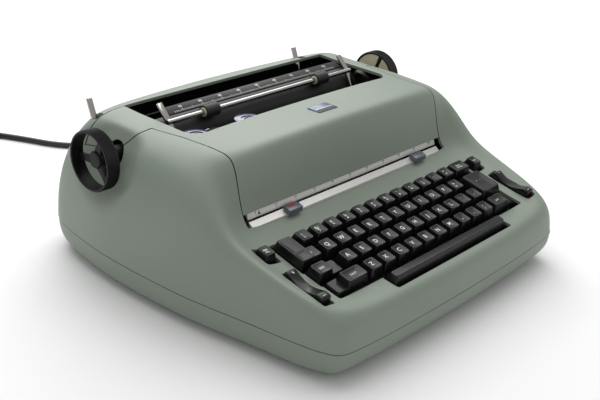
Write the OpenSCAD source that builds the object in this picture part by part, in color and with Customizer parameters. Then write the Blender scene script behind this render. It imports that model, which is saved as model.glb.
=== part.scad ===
// Electric single-element typewriter.
// X runs to the operator's right, Y runs from the operator to the rear, Z is up.
// The origin is on the desk, under the middle of the case.

/* [Case] */
// Height of the joint between the lower and the upper case
seam_z = 32; // [28:1:34]
// Wall thickness of the moulded case shells
shell_t = 3; // [2.4:0.2:3.4]
// Width of the visible gap between neighbouring case parts
reveal = 0.9; // [0.6:0.1:1.2]

/* [Keyboard] */
// Distance from one key to the next
key_pitch = 19.05; // [18.8:0.05:19.1]
// Slope of the keyboard in degrees
key_slope = 12.5; // [12:0.5:13]
// Width of a key cap at its skirt
cap_base = 17.4; // [16.8:0.1:17.6]
// Width of a key cap at its top
cap_top = 13; // [12:0.5:14]

/* [Paper path] */
// Radius of the platen's rubber
platen_r = 20; // [19:0.5:20]
// Half the length of the platen's rubber
platen_half = 141; // [136:1:142]
// Outer radius of the platen knobs
knob_r = 28; // [26:0.5:29]
// Distance of the knobs' outer faces from the middle
knob_x = 205; // [204:0.5:207]

/* [Cord] */
// Diameter of the mains lead
cord_d = 6.5; // [6:0.5:6.5]

/* [Hidden] */
fine = 48;

// Deck and key planes. The deck lies key_proud below the tops of the keys.
slope = tan(key_slope);
row0_y = -87;
row0_z = 86;
key_proud = 9;
function key_z(y) = row0_z + (y - row0_y) * slope;
function deck_z(y) = key_z(y) - key_proud;

// Platen axis
platen_y = 86;
platen_z = 121.5;

// ---- Case surface -------------------------------------------------------------------------------
// One half of the control net of the case's outer surface, from front to rear. Each row runs from
// the side seam up the wall, over the rim or shoulder and in to the middle. A cubic B-spline
// surface is drawn through the net, and its outer edge is the seam.
case_net = [
    [[168, -172], [166, -175], [162, -178.5], [156, -180.5], [145, -182], [120, -184], [80, -185.5],
     [0, -187]],
    [[173, -160, 32], [172.5, -164, 40], [170.5, -169, 45], [165, -175.5, 47], [150, -180, 47],
     [120, -183, 47], [80, -184.5, 47], [0, -186, 47]],
    [[175, -150, 32], [174.5, -153, 44], [172.5, -159, 56], [166, -167.5, 62], [150, -175, 62.5],
     [120, -178, 62], [80, -180, 61.5], [0, -181.5, 61]],
    [[178, -136, 32], [177.5, -137, 48], [176.5, -139, 63], [172.5, -144, 71.5], [164, -150, 68.5],
     [150, -158, 61.3], [95, -164, 59.9], [0, -166, 59.5]],
    [[183, -100, 32], [182.5, -100, 55], [181, -101, 75], [176.5, -104, 83], [168, -107, 78],
     [154, -110, 71.9], [95, -112, 71.5], [0, -112, 71.5]],
    [[188, -72, 32], [187.5, -72, 60], [185, -73, 84], [178, -77, 91], [169, -79, 86],
     [155, -80, 79], [95, -80, 78.6], [0, -80, 78.6]],
    [[191, -56, 32], [190.5, -56, 66], [187, -57, 95], [177, -60, 101], [167, -58, 94],
     [153, -55, 83.8], [95, -52, 82], [0, -52, 82]],
    [[193, -42, 32], [193, -42, 72], [188, -43, 108], [174, -47, 116], [163, -44, 107],
     [150, -43, 96], [95, -44, 93], [0, -45, 93]],
    [[195, -28, 32], [195, -28, 80], [188, -28, 120], [170, -32, 132], [159, -34, 127],
     [146, -37, 127], [95, -39, 130], [0, -41, 131]],
    [[196.5, -12, 32], [196.5, -12, 86], [188, -12, 127], [168, -17, 140], [155, -24, 145],
     [143, -33, 148], [95, -34, 151.5], [0, -36, 153]],
    [[197.5, 4, 32], [197.5, 4, 88], [188, 4, 130], [168, 2, 142], [152, -4, 146.5],
     [140, -14, 148], [95, -22, 150.5], [0, -24, 151.5]],
    [[199, 30, 32], [199, 30, 90], [188.5, 30, 132], [168, 30, 143.5], [150, 28, 147],
     [132, 24, 148.5], [95, 20, 150], [0, 20, 151]],
    [[199.5, 50, 32], [199.5, 50, 90], [188.5, 50, 132], [168, 50, 143.5], [151, 50, 147],
     [132, 50, 148.5], [95, 50, 150], [0, 50, 150.5]],
    [[199.5, 70, 32], [199.5, 70, 90], [188.5, 70, 132], [168, 70, 143.5], [152, 70, 147],
     [132, 70, 148.5], [95, 70, 149.5], [0, 70, 150]],
    [[199, 88, 32], [199, 88, 90], [188.5, 88, 132], [169, 88, 143.5], [152, 88, 147],
     [132, 88, 148.5], [95, 88, 149], [0, 88, 149.5]],
    [[197, 108, 32], [197, 108, 90], [188, 106, 131], [170, 106, 143], [152, 106, 147],
     [132, 108, 148.5], [95, 108, 148.5], [0, 110, 149]],
    [[193, 138, 32], [193, 138, 88], [187, 133, 126], [174, 129, 142], [159, 131, 149],
     [135, 134, 150], [95, 138, 150], [0, 142, 150]],
    [[189, 158, 32], [189, 157, 70], [184, 152, 106], [173, 147, 124], [158, 148, 131],
     [135, 150, 133], [95, 154, 133], [0, 158, 133]],
    [[181, 175, 32], [181, 174, 55], [178, 170, 78], [168, 168, 88], [155, 169, 92],
     [135, 171, 93], [95, 174, 93], [0, 178, 93]],
    [[168, 184], [162, 185], [155, 185.7], [145, 186.2], [130, 186.6], [110, 187], [80, 187.3],
     [0, 187.5]],
];

// Side recess behind each knob: a shallow dish round the platen's axis
dish_r = 47;
dish_flat = 20;
dish_depth = 12;

function mix(a, b, t) = a + (b - a) * t;
function ease(t) = t <= 0 ? 0 : t >= 1 ? 1 : t * t * (3 - 2 * t);
function with_z(p) = len(p) == 3 ? p : [p[0], p[1], seam_z];
function mirror_x(p) = [-p[0], p[1], p[2]];
function full_row(half) = concat([for (p = half) with_z(p)],
                                 [for (i = [len(half) - 2:-1:0]) mirror_x(with_z(half[i]))]);
function basis(t) = [pow(1 - t, 3), 3 * t * t * t - 6 * t * t + 4,
                     -3 * t * t * t + 3 * t * t + 3 * t + 1, t * t * t] / 6;
function padded(p) = let (n = len(p)) concat([2 * p[0] - p[1]], p, [2 * p[n - 1] - p[n - 2]]);
function spline_at(q, u) = let (i = min(floor(u), len(q) - 4), w = basis(u - i))
    w[0] * q[i] + w[1] * q[i + 1] + w[2] * q[i + 2] + w[3] * q[i + 3];
function spline(p, per) = let (q = padded(p))
    [for (k = [0:(len(p) - 1) * per]) spline_at(q, k / per)];
function dish(p) = let (r = norm([p[1] - platen_y, p[2] - platen_z]))
    abs(p[0]) < 150 ? p
    : [p[0] - sign(p[0]) * dish_depth * (1 - ease((r - dish_flat) / (dish_r - dish_flat))), p[1], p[2]];

rows_a = [for (half = case_net) spline(full_row(half), 2)];
cols_a = [for (j = [0:len(rows_a[0]) - 1]) spline([for (row = rows_a) row[j]], 2)];
nj = len(cols_a);
ni = len(cols_a[0]);
outer = [for (i = [0:ni - 1]) [for (j = [0:nj - 1]) dish(cols_a[j][i])]];
function unit(v) = v / max(norm(v), 1e-6);
function normal_at(i, j) = unit(cross(
    outer[i][min(j + 1, nj - 1)] - outer[i][max(j - 1, 0)],
    outer[min(i + 1, ni - 1)][j] - outer[max(i - 1, 0)][j]));
function at_seam(i, j) = i == 0 || j == 0 || i == ni - 1 || j == nj - 1;
function inward(i, j) = let (n = normal_at(i, j), f = unit([n[0], n[1], 0]))
    at_seam(i, j) ? outer[i][j] + shell_t * f : outer[i][j] + shell_t * n;
inner = [for (i = [0:ni - 1]) [for (j = [0:nj - 1]) inward(i, j)]];

function grid(i, j) = i * nj + j;
grid_faces = [for (i = [0:ni - 2]) for (j = [0:nj - 2]) each [
    [grid(i, j), grid(i + 1, j), grid(i, j + 1)],
    [grid(i + 1, j), grid(i + 1, j + 1), grid(i, j + 1)]]];
seam_ring = concat([for (j = [0:nj - 2]) [0, j]], [for (i = [0:ni - 2]) [i, nj - 1]],
                   [for (j = [nj - 1:-1:1]) [ni - 1, j]], [for (i = [ni - 1:-1:1]) [i, 0]]);
seam_points = [for (s = seam_ring) outer[s[0]][s[1]]];

module case_shell() {
    n = ni * nj;
    ring = [for (s = seam_ring) grid(s[0], s[1])];
    rim = [for (k = [0:len(ring) - 1]) let (a = ring[k], b = ring[(k + 1) % len(ring)])
        each [[a, b, n + a], [b, n + b, n + a]]];
    polyhedron(
        points = concat([for (row = outer) each row], [for (row = inner) each row]),
        faces = concat(grid_faces, [for (f = grid_faces) [n + f[0], n + f[2], n + f[1]]], rim));
}

// A box with four rounded upright corners, from its low and high corners
module slab(low, high, r = 2, r_fn = 24) {
    hull() {
        for (x = [low[0] + r, high[0] - r]) {
            for (y = [low[1] + r, high[1] - r]) {
                translate([x, y, low[2]]) cylinder(r = r, h = high[2] - low[2], $fn = r_fn);
            }
        }
    }
}

// A box with four cut upright corners, from its low and high corners
module well(low, high, c) {
    translate([(low[0] + high[0]) / 2, (low[1] + high[1]) / 2, low[2]]) {
        linear_extrude(high[2] - low[2]) cut_square(high[0] - low[0], high[1] - low[1], c);
    }
}

// A rectangle with cut corners, as wide as w and as deep as d
module cut_square(w, d, c = 1.6) {
    polygon([[c - w / 2, -d / 2], [w / 2 - c, -d / 2], [w / 2, c - d / 2], [w / 2, d / 2 - c],
             [w / 2 - c, d / 2], [c - w / 2, d / 2], [-w / 2, d / 2 - c], [-w / 2, c - d / 2]]);
}

// A rod along X between two ends
module rod_x(x0, x1, y, z, r) {
    translate([x0, y, z]) rotate([0, 90, 0]) cylinder(r = r, h = x1 - x0, $fn = fine);
}

// A flat plate in the YZ plane, from x0 to x1
module plate_x(x0, x1, outline) {
    translate([x0, 0, 0]) rotate([90, 0, 90]) linear_extrude(x1 - x0) polygon(outline);
}

// ---- Top cover ----------------------------------------------------------------------------------
cover_half = 143;
cover_front_z = 98;
cover_rear_y = 121;
cover_notch_r = 12;
hinge_y = -30;
hinge_z = 95;
paper_gap_half = 138;
paper_gap_y = 23;
strip_y = 108;

// Outline of the cover from above, on the right of the middle, and of its ears from the side
cover_plan = [[0, -80], [143, -80], [143, 0], [145.5, 30], [151, 60], [151, 121], [0, 121]];
ear_side = [[88, 121.5], [60, 152], [60, 190], [121, 190], [121, 121.5]];

// Space taken by the cover, grown by g on the sides that meet the upper case
module cover_zone(g = 0) {
    translate([0, 0, cover_front_z - g]) linear_extrude(90) {
        offset(delta = g) {
            polygon(concat(cover_plan, [for (i = [len(cover_plan) - 1:-1:0])
                [-cover_plan[i][0], cover_plan[i][1]]]));
        }
    }
    for (x = [-230, 150]) {
        translate([x, 0, 0]) rotate([90, 0, 90]) linear_extrude(80) {
            offset(delta = g) polygon(ear_side);
        }
    }
}

module paper_gap() {
    slab([-paper_gap_half, paper_gap_y, 100], [paper_gap_half, 170, 175], 16, 40);
}

module top_cover() {
    color([0.50, 0.54, 0.49]) difference() {
        intersection() {
            case_shell();
            cover_zone();
        }
        intersection() {
            paper_gap();
            translate([-200, 0, 100]) cube([400, cover_rear_y + 1, 80]);
        }
        rod_x(-230, 230, platen_y, platen_z, cover_notch_r);
        // Shallow beds for the sound-deadening pads
        for (k = [-3:2]) {
            slab([k * 38 + 3, -22, 100], [k * 38 + 35, 12, 146.4], 4, 16);
        }
    }
}

module cover_hinges() {
    color([0.35, 0.36, 0.36]) for (s = [-1, 1]) {
        difference() {
            union() {
                rod_x(s * 128 - 4, s * 128 + 4, hinge_y, hinge_z, 4);
                translate([s * 128 - 4, hinge_y - 9.5, hinge_z - 2]) cube([8, 8, 4]);
                translate([s * 128 - 4, hinge_y - 9.5, hinge_z - 2]) cube([8, 2, 24]);
            }
            rod_x(s * 128 - 5, s * 128 + 5, hinge_y, hinge_z, 2.05);
        }
    }
}

module cover_hinge_pins() {
    color([0.6, 0.6, 0.6]) for (s = [-1, 1]) {
        rod_x(s * 128 - 7, s * 128 + 7, hinge_y, hinge_z, 2);
        for (x = [s * 128 - 7, s * 128 + 5]) {
            plate_x(x, x + 2, [[hinge_y - 4, hinge_z - 4], [hinge_y + 6, hinge_z - 12],
                               [hinge_y + 10, hinge_z - 12], [hinge_y + 5, hinge_z + 4],
                               [hinge_y - 4, hinge_z + 4]]);
        }
        translate([s * 128 - 7, hinge_y + 4, hinge_z - 14]) cube([14, 10, 3]);
    }
    // Bar across the machine that carries both hinge brackets
    color([0.6, 0.6, 0.6]) {
        translate([-143, hinge_y + 5, hinge_z - 18]) cube([286, 8, 4]);
        for (s = [-1, 1]) {
            translate([s * 141 - 2, hinge_y + 5, base_z + shell_t]) cube([4, 8, hinge_z - 27]);
        }
    }
}

scale_half = 137;

module cover_scale() {
    color([0.80, 0.80, 0.78]) plate_x(-scale_half, scale_half,
        [[-45, 91.6], [-42.6, 91.6], [-40.6, 97.6], [-43, 97.6]]);
}

module nameplate() {
    color([0.10, 0.20, 0.35]) translate([-13, -12, 150.4]) {
        cube([26, 16, 1.5]);
    }
}

// ---- Case ---------------------------------------------------------------------------------------
// Openings in the deck, as low and high corners: the key block in steps, then the single keys
block_cuts = [[[-143.5, -117], [136.8, -75.5]], [[-142, -136], [136.8, -110]],
              [[-140.5, -154.5], [136.8, -120]], [[-86, -172], [90.5, -140]]];
single_cuts = [[[-164.5, -96], [-147.5, -75.5]], [[139.8, -97.5], [156.2, -77.5]],
               [[-162.5, -157], [-149.5, -109]], [[147.5, -156], [160.5, -106]]];
lever_slots = [[-168.5, -159.5], [107.5, 116.5]];
slot_y = [122.5, 138];

module upper_case() {
    color([0.50, 0.54, 0.49]) difference() {
        case_shell();
        cover_zone(reveal);
        paper_gap_back();
        for (c = concat(block_cuts, single_cuts)) {
            well([c[0][0], c[0][1], 45], [c[1][0], c[1][1], 95], 1.5);
        }
        for (s = lever_slots) well([s[0], slot_y[0], 125], [s[1], slot_y[1], 160], 2);
        // Well for the margin rail, behind the deck's rear edge
        translate([-cover_half - reveal, -52.4, 70]) cube([2 * cover_half + 2 * reveal, 30, 50]);
        rod_x(-230, 230, platen_y, platen_z, cover_notch_r);
        bore_y(cord_x, 187, cord_z, 5.2);
    }
}

// The part of the paper opening that runs back into the rear strip
module paper_gap_back() {
    slab([-paper_gap_half, paper_gap_y, 100], [paper_gap_half, strip_y, 175], 10, 32);
}

// A rod along Y, centred on the given point
module bore_y(x, y, z, r) {
    translate([x, y + 10, z]) rotate([90, 0, 0]) cylinder(r = r, h = 30, $fn = fine);
}

base_z = 6;
// Base rings from the seam down: height, and how far the outline draws in along X and Y
base_rings = [[seam_z - reveal, 0.4, 0.4], [22, 0.6, 0.8], [14, 1.6, 3.5], [8.5, 4, 9],
              [base_z, 8, 16]];

module base_solid(inset, floor_z) {
    m = len(seam_points);
    k = len(base_rings);
    pts = [for (r = base_rings) for (p = seam_points)
        [p[0] * (1 - (r[1] + inset) / 199), p[1] * (1 - (r[2] + inset) / 187), max(r[0], floor_z)]];
    function strip(r) = [for (i = [0:m - 1]) let (a = r * m + i, b = r * m + (i + 1) % m)
        each [[a, a + m, b], [b, a + m, b + m]]];
    polyhedron(points = pts, faces = concat(
        [[for (i = [0:m - 1]) i]], [for (r = [0:k - 2]) each strip(r)],
        [[for (i = [m - 1:-1:0]) (k - 1) * m + i]]));
}

module lower_case() {
    color([0.50, 0.54, 0.49]) difference() {
        base_solid(0, base_z);
        translate([0, 0, 0.01]) base_solid(shell_t, base_z + shell_t);
        bore_y(cord_x, 180, cord_z, 5.2);
        // Cooling slots in the floor
        for (k = [0:9]) slab([-150 + 12 * k, 60, 0], [-144 + 12 * k, 130, 20], 2, 12);
    }
}

module rubber_feet() {
    color([0.10, 0.10, 0.10]) for (x = [-1, 1], y = [-1, 1]) {
        translate([x * 140, y * 135, 0]) cylinder(r = 11, h = base_z, $fn = fine);
        translate([x * 140, y * 135, base_z - 0.5]) cylinder(r = 4, h = 4, $fn = fine);
    }
}

module case_screws() {
    color([0.55, 0.55, 0.55]) for (x = [-1, 1], y = [-1, 1]) {
        translate([x * 112, y * 135, base_z - 2]) difference() {
            cylinder(r = 4, h = 2, $fn = fine);
            translate([-5, -0.6, -0.5]) cube([10, 1.2, 1.3]);
        }
    }
}

// ---- Frame and paper path -----------------------------------------------------------------------
floor_z = base_z + shell_t;
plate_in = 151.5;
plate_t = 2;
shaft_r = 4.5;
run = 0.05;
print_y = 60;
print_z = 75;
print_r = 4;
roll_r = 6;
roll_y = [platen_y - 13.15, platen_y + 13.15];
roll_z = platen_z - 22.78;
fulcrum_y = 25;
fulcrum_z = 40;
fulcrum_r = 2;
bail_y = 55;
bail_z = 115;
bail_rod_y = 70;
bail_rod_z = 145;
bail_x = 126;
lever_y = 124;
lever_z = 110;
post_y = 131.5;
post_z = 141;
copy_x = -164;
release_x = 112;

module main_frame() {
    color([0.42, 0.44, 0.45]) {
        for (x = [-plate_in - plate_t, plate_in]) {
            difference() {
                plate_x(x, x + plate_t, [[8, floor_z], [132, floor_z], [132, 112], [112, 133],
                                         [60, 133], [40, 128], [8, 100]]);
                rod_x(x - 1, x + 3, platen_y, platen_z, shaft_r + run);
                rod_x(x - 1, x + 3, print_y, print_z, print_r + run);
                for (y = roll_y) rod_x(x - 1, x + 3, y, roll_z, 2 + run);
                rod_x(x - 1, x + 3, fulcrum_y, fulcrum_z, fulcrum_r);
                rod_x(x - 1, x + 3, 105, 40, 14);
            }
        }
        for (p = [[84, 18], [16, 18], [128, 84]]) rod_x(-plate_in, plate_in, p[0], p[1], 3.5);
        for (s = [-1, 1]) {
            rod_x(min(s * plate_in, s * (bail_x - 3.5)), max(s * plate_in, s * (bail_x - 3.5)),
                  bail_y, bail_z, 2);
        }
        rod_x(copy_x - 5, -plate_in, lever_y, lever_z, 2);
        rod_x(release_x - 5, plate_in, lever_y, lever_z, 2);
        // Brackets and pins of the two rocking switches
        for (p = [[-166, -168], [164, 166]]) {
            plate_x(p[1] < 0 ? p[1] : p[0], p[1] < 0 ? p[0] : p[1],
                    [[rocker_y - 8, floor_z], [rocker_y + 8, floor_z], [rocker_y + 4, rocker_z + 4],
                     [rocker_y - 4, rocker_z + 4]]);
        }
        rod_x(-167, -150.5, rocker_y, rocker_z, 2);
        rod_x(148.5, 165, rocker_y, rocker_z, 2);
    }
}

module key_fulcrum_rod() {
    color([0.7, 0.7, 0.7]) rod_x(-162, 162, fulcrum_y, fulcrum_z, fulcrum_r);
}

module platen_rubber() {
    color([0.06, 0.06, 0.06]) difference() {
        rod_x(-platen_half, platen_half, platen_y, platen_z, platen_r);
        rod_x(-150, 150, platen_y, platen_z, 16);
    }
}

module platen_shaft() {
    color([0.6, 0.6, 0.6]) {
        rod_x(-platen_half, platen_half, platen_y, platen_z, 16);
        rod_x(-198, 198, platen_y, platen_z, shaft_r);
    }
}

// A platen knob whose outer face looks along +X: an open grip ring on three spokes and a hub
module platen_knob() {
    color([0.05, 0.05, 0.05]) difference() {
        union() {
            translate([knob_x - 13.3, 0, 0]) rotate([0, 90, 0]) difference() {
                cylinder(r = knob_r, h = 13.3, $fn = 96);
                translate([0, 0, -1]) cylinder(r = knob_r - 2.6, h = 16, $fn = 96);
            }
            translate([168, 0, 0]) rotate([0, 90, 0]) cylinder(r = 8, h = 31, $fn = fine);
            for (k = [0:2]) {
                rotate([120 * k + 20, 0, 0]) translate([knob_x - 12.5, -4, 0]) cube([5, 8, knob_r - 1.5]);
            }
        }
        translate([160, 0, 0]) rotate([0, 90, 0]) cylinder(r = shaft_r, h = 38, $fn = fine);
    }
}

// The right knob's inner side is closed by a thin web
module platen_knob_right() {
    translate([0, platen_y, platen_z]) platen_knob();
    color([0.80, 0.77, 0.66]) difference() {
        rod_x(knob_x - 12.9, knob_x - 11.4, platen_y, platen_z, knob_r - 2);
        rod_x(knob_x - 14, knob_x - 10, platen_y, platen_z, 7);
    }
}

module platen_knob_left() {
    translate([0, platen_y, platen_z]) mirror([1, 0, 0]) platen_knob();
}

ratchet_teeth = 33;

module platen_ratchet() {
    tooth = 360 / ratchet_teeth;
    outline = [for (k = [0:ratchet_teeth - 1]) each [
        [17 * cos(k * tooth), 17 * sin(k * tooth)],
        [14.8 * cos((k + 0.75) * tooth), 14.8 * sin((k + 0.75) * tooth)]]];
    color([0.55, 0.5, 0.4]) translate([-platen_half - 4, platen_y, platen_z]) rotate([90, 0, 90]) {
        linear_extrude(3) difference() {
            polygon(outline);
            circle(r = shaft_r, $fn = fine);
        }
    }
}

module feed_roll(y) {
    color([0.08, 0.08, 0.08]) {
        rod_x(-156, 156, y, roll_z, 2);
        for (x = [-95, 0, 95]) rod_x(x - 32, x + 32, y, roll_z, roll_r);
    }
}

module feed_roll_front() {
    feed_roll(roll_y[0]);
}

module feed_roll_rear() {
    feed_roll(roll_y[1]);
}

table_r = 33.5;
table_right = 127;

module paper_table() {
    color([0.08, 0.08, 0.09]) {
        translate([-144, platen_y, platen_z]) rotate([90, 0, 90]) linear_extrude(144 + table_right) {
            intersection() {
                difference() {
                    circle(r = table_r + 1.5, $fn = 96);
                    circle(r = table_r, $fn = 96);
                }
                polygon([[0, 0], [-18, -50], [50, -50], [50, 22]]);
            }
        }
        rod_x(-plate_in, -143.5, platen_y + 34.25, platen_z + 2, 2);
        rod_x(table_right - 1, plate_in, platen_y + 34.25, platen_z + 2, 2);
    }
}

// ---- Paper bail ---------------------------------------------------------------------------------
bail_arm_line = [[54, 112.2], [57.6, 113.6], [72.6, 142.6], [86, 157.4], [84.4, 159.2], [70.6, 145.6],
                 [52.6, 116.6]];

module bail_arms() {
    color([0.8, 0.8, 0.8]) for (s = [-1, 1]) {
        difference() {
            union() {
                plate_x(s * bail_x - 3, s * bail_x + 3, bail_arm_line);
                rod_x(s * bail_x - 3, s * bail_x + 3, bail_y, bail_z, 4.2);
            }
            rod_x(s * bail_x - 4, s * bail_x + 4, bail_y, bail_z, 2 + run);
            rod_x(s * bail_x - 4, s * bail_x + 4, bail_rod_y, bail_rod_z, 2.4);
        }
    }
}

module bail_rod() {
    color([0.8, 0.8, 0.8]) rod_x(-bail_x - 3, bail_x + 3, bail_rod_y, bail_rod_z, 2.4);
}

module paper_scale() {
    color([0.07, 0.07, 0.07]) plate_x(-bail_x + 3, bail_x - 3,
        [[77.4, 146.8], [88.8, 150.2], [88.4, 151.6], [76.9, 148.2]]);
}

module bail_roller(x) {
    color([0.08, 0.08, 0.08]) difference() {
        rod_x(x - 9.5, x + 9.5, bail_rod_y, bail_rod_z, 6.3);
        rod_x(x - 11, x + 11, bail_rod_y, bail_rod_z, 2.4 + run);
    }
}

module bail_roller_left() {
    bail_roller(-76);
}

module bail_roller_right() {
    bail_roller(80);
}

module lever_post(x) {
    color([0.8, 0.8, 0.8]) difference() {
        union() {
            rod_x(x - 2, x + 2, lever_y, lever_z, 4.5);
            plate_x(x - 1.5, x + 1.5, [[lever_y - 3, lever_z], [lever_y + 3, lever_z],
                                       [post_y + 2.5, post_z], [post_y - 2.5, post_z]]);
            translate([x, post_y, post_z - 2]) rotate([-23, 0, 0]) cylinder(r = 3, h = 20, $fn = fine);
        }
        rod_x(x - 3, x + 3, lever_y, lever_z, 2 + run);
    }
}

module copy_control_lever() {
    lever_post(copy_x);
}

module paper_release_lever() {
    lever_post(release_x);
}

// ---- Carrier ------------------------------------------------------------------------------------
carrier_x = -88;
rail_y = 20;
rail_z = 80;
element_y = 47.5;
element_r = 16.5;

module carrier_rails() {
    color([0.7, 0.7, 0.7]) {
        rod_x(-plate_in, plate_in, rail_y, rail_z, 3);
        translate([-plate_in, 70, 64]) cube([plate_in + 126, 2.5, 9]);
    }
}

module carrier_frame() {
    color([0.5, 0.5, 0.5]) difference() {
        union() {
            for (x = [carrier_x - 24, carrier_x + 20]) {
                plate_x(x, x + 4, [[13, 66], [66, 66], [66, 84], [54, 88], [30, 88], [26, 124],
                                   [20, 124], [13, 88]]);
            }
            translate([carrier_x - 24, 13, 63]) cube([48, 52, 4]);
        }
        rod_x(carrier_x - 30, carrier_x + 30, print_y, print_z, print_r + run);
        rod_x(carrier_x - 30, carrier_x + 30, rail_y, rail_z, 3 + run);
    }
}

module rocker() {
    color([0.55, 0.55, 0.55]) difference() {
        union() {
            for (x = [carrier_x - 14, carrier_x + 11]) {
                plate_x(x, x + 3, [[54, 70], [66, 70], [66, 81], [58, 101], [38, 101], [38, 97],
                                   [50, 90]]);
            }
            translate([carrier_x - 14, 38, 100]) cube([28, 20, 3]);
            translate([carrier_x, element_y, 103]) cylinder(r = 3.5, h = 29, $fn = fine);
        }
        rod_x(carrier_x - 30, carrier_x + 30, print_y, print_z, print_r + run);
    }
}

module type_element() {
    color([0.75, 0.75, 0.75]) translate([carrier_x, element_y, platen_z]) difference() {
        sphere(r = element_r, $fn = 64);
        translate([-20, -20, -40]) cube([40, 40, 29]);
        translate([-20, -20, 11]) cube([40, 40, 20]);
        translate([0, 0, -12]) cylinder(r = 10, h = 8, $fn = fine);
        translate([0, 0, -20]) cylinder(r = 3.5 + run, h = 60, $fn = fine);
    }
}

module element_lever() {
    color([0.08, 0.08, 0.08]) translate([carrier_x, element_y, platen_z + 11]) {
        cylinder(r = 7, h = 2.5, $fn = fine);
        translate([-1.5, -13, 1]) cube([3, 24, 1.6]);
    }
}

spool_dx = 33;
spool_y = 39;

module ribbon_cartridge() {
    color([0.16, 0.15, 0.42]) difference() {
        union() {
            translate([carrier_x - 48, 25.5, 126]) cube([96, 28, 3]);
            for (s = [-1, 1]) {
                translate([carrier_x + s * spool_dx, spool_y, 129]) cylinder(r = 14.5, h = 12, $fn = 64);
            }
        }
        translate([carrier_x - 18, 29.5, 120]) cube([36, 40, 20]);
        for (s = [-1, 1]) {
            translate([carrier_x + s * spool_dx, spool_y, 128]) cylinder(r = 5, h = 20, $fn = fine);
        }
    }
}

module ribbon_spools() {
    color([0.05, 0.05, 0.05]) for (s = [-1, 1]) {
        translate([carrier_x + s * spool_dx, spool_y, 128]) difference() {
            cylinder(r = 5, h = 9, $fn = fine);
            translate([0, 0, 2]) cylinder(r = 3, h = 20, $fn = fine);
        }
    }
}

// ---- Drive --------------------------------------------------------------------------------------
motor_y = 124;
motor_z = 44;
pulley_x = 130;
pulley_r = 9;
cycle_r = 18;

module print_shaft() {
    color([0.7, 0.7, 0.7]) rod_x(-157, 157, print_y, print_z, print_r);
}

module pulley(y, z, r) {
    difference() {
        rod_x(pulley_x, pulley_x + 9, y, z, r + 2);
        difference() {
            rod_x(pulley_x + 1.5, pulley_x + 7.5, y, z, r + 4);
            rod_x(pulley_x + 1, pulley_x + 8, y, z, r);
        }
    }
}

module cycle_pulley() {
    color([0.5, 0.5, 0.45]) difference() {
        pulley(print_y, print_z, cycle_r);
        rod_x(pulley_x - 1, pulley_x + 11, print_y, print_z, print_r);
    }
}

module motor_pulley() {
    color([0.5, 0.5, 0.45]) {
        pulley(motor_y, motor_z, pulley_r);
        rod_x(112, pulley_x + 10, motor_y, motor_z, 3);
    }
}

module motor() {
    color([0.2, 0.2, 0.22]) difference() {
        union() {
            rod_x(20, 110, motor_y, motor_z, 26);
            rod_x(110, 116, motor_y, motor_z, 9);
            for (x = [30, 90]) translate([x, motor_y - 20, floor_z]) cube([12, 40, 14]);
        }
        rod_x(109, 117, motor_y, motor_z, 3 + run);
    }
}

module drive_belt() {
    color([0.1, 0.1, 0.1]) translate([pulley_x + 2.5, 0, 0]) rotate([90, 0, 90]) linear_extrude(4) {
        difference() {
            belt_outline(2);
            belt_outline(0.3);
        }
    }
}

module belt_outline(g) {
    hull() {
        translate([motor_y, motor_z]) circle(r = pulley_r + g, $fn = 48);
        translate([print_y, print_z]) circle(r = cycle_r + g, $fn = 64);
    }
}

// ---- Margins ------------------------------------------------------------------------------------
module margin_rail() {
    color([0.75, 0.74, 0.71]) {
        plate_x(-137.4, 137.4, [[-52.1, 82.5], [-46.2, 82.5], [-46.2, 90.3], [-50.2, 87.4],
                                [-52.1, 87]]);
        for (s = [-1, 1]) {
            translate([s * 146.5 - 10, -51, 78]) cube([20, 4, 4.6]);
        }
    }
}

module margin_stop(x) {
    color([0.55, 0.58, 0.62]) {
        plate_x(x - 8.5, x + 8.5, [[-56, 86.6], [-53, 88.3], [-50.6, 88.2], [-47.1, 90.6], [-47.1, 92.9],
                                   [-50.5, 93.3], [-56, 91.6]]);
    }
}

module margin_stop_left() {
    margin_stop(-87.5);
    color([0.75, 0.08, 0.06]) plate_x(-92.5, -84.5, [[-50.4, 93.2], [-47.2, 92.8], [-47.2, 94.2]]);
}

module margin_stop_right() {
    margin_stop(98.5);
}

// ---- Keyboard -----------------------------------------------------------------------------------
cap_h = 12;
row_x = [-111.4, -101.9, -97.1, -87.6];
row_count = [12, 11, 11, 10];
arm_drop = 26;
arm_t = 1.5;

// Places children on the key plane at x, y, with their top at local z = 0
module on_keys(x, y) {
    translate([x, y, key_z(y)]) rotate([key_slope, 0, 0]) children();
}

// A tapered cap: base w by d, top wt by dt, its top sunk by drop below the key plane
module cap(x, y, w, d, wt, dt, drop = 0) {
    on_keys(x, y) translate([0, 0, -cap_h]) {
        linear_extrude(cap_h - drop, scale = [wt / w, dt / d]) cut_square(w, d);
    }
}

// The steel arm under a cap, from its stem back to the eye on the fulcrum rod
module key_arm(x, y) {
    z = key_z(y) - arm_drop;
    color([0.6, 0.6, 0.6]) difference() {
        union() {
            plate_x(x - arm_t / 2, x + arm_t / 2,
                [[y - 4, z - 3], [fulcrum_y, fulcrum_z - 3], [fulcrum_y, fulcrum_z + 3],
                 [y + 4, z + 3], [y + 4, z + arm_drop - 10], [y - 4, z + arm_drop - 11]]);
            rod_x(x - arm_t / 2, x + arm_t / 2, fulcrum_y, fulcrum_z, 4.2);
        }
        rod_x(x - arm_t, x + arm_t, fulcrum_y, fulcrum_z, fulcrum_r + run);
    }
}

module key_row(r) {
    y = row0_y - r * key_pitch;
    color([0.07, 0.07, 0.07]) for (k = [0:row_count[r] - 1]) {
        cap(row_x[r] + k * key_pitch, y, cap_base, cap_base, cap_top, cap_top);
        key_arm(row_x[r] + k * key_pitch, y);
    }
}

module key_row_numbers() {
    key_row(0);
}

module key_row_upper() {
    key_row(1);
}

module key_row_home() {
    key_row(2);
}

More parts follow.
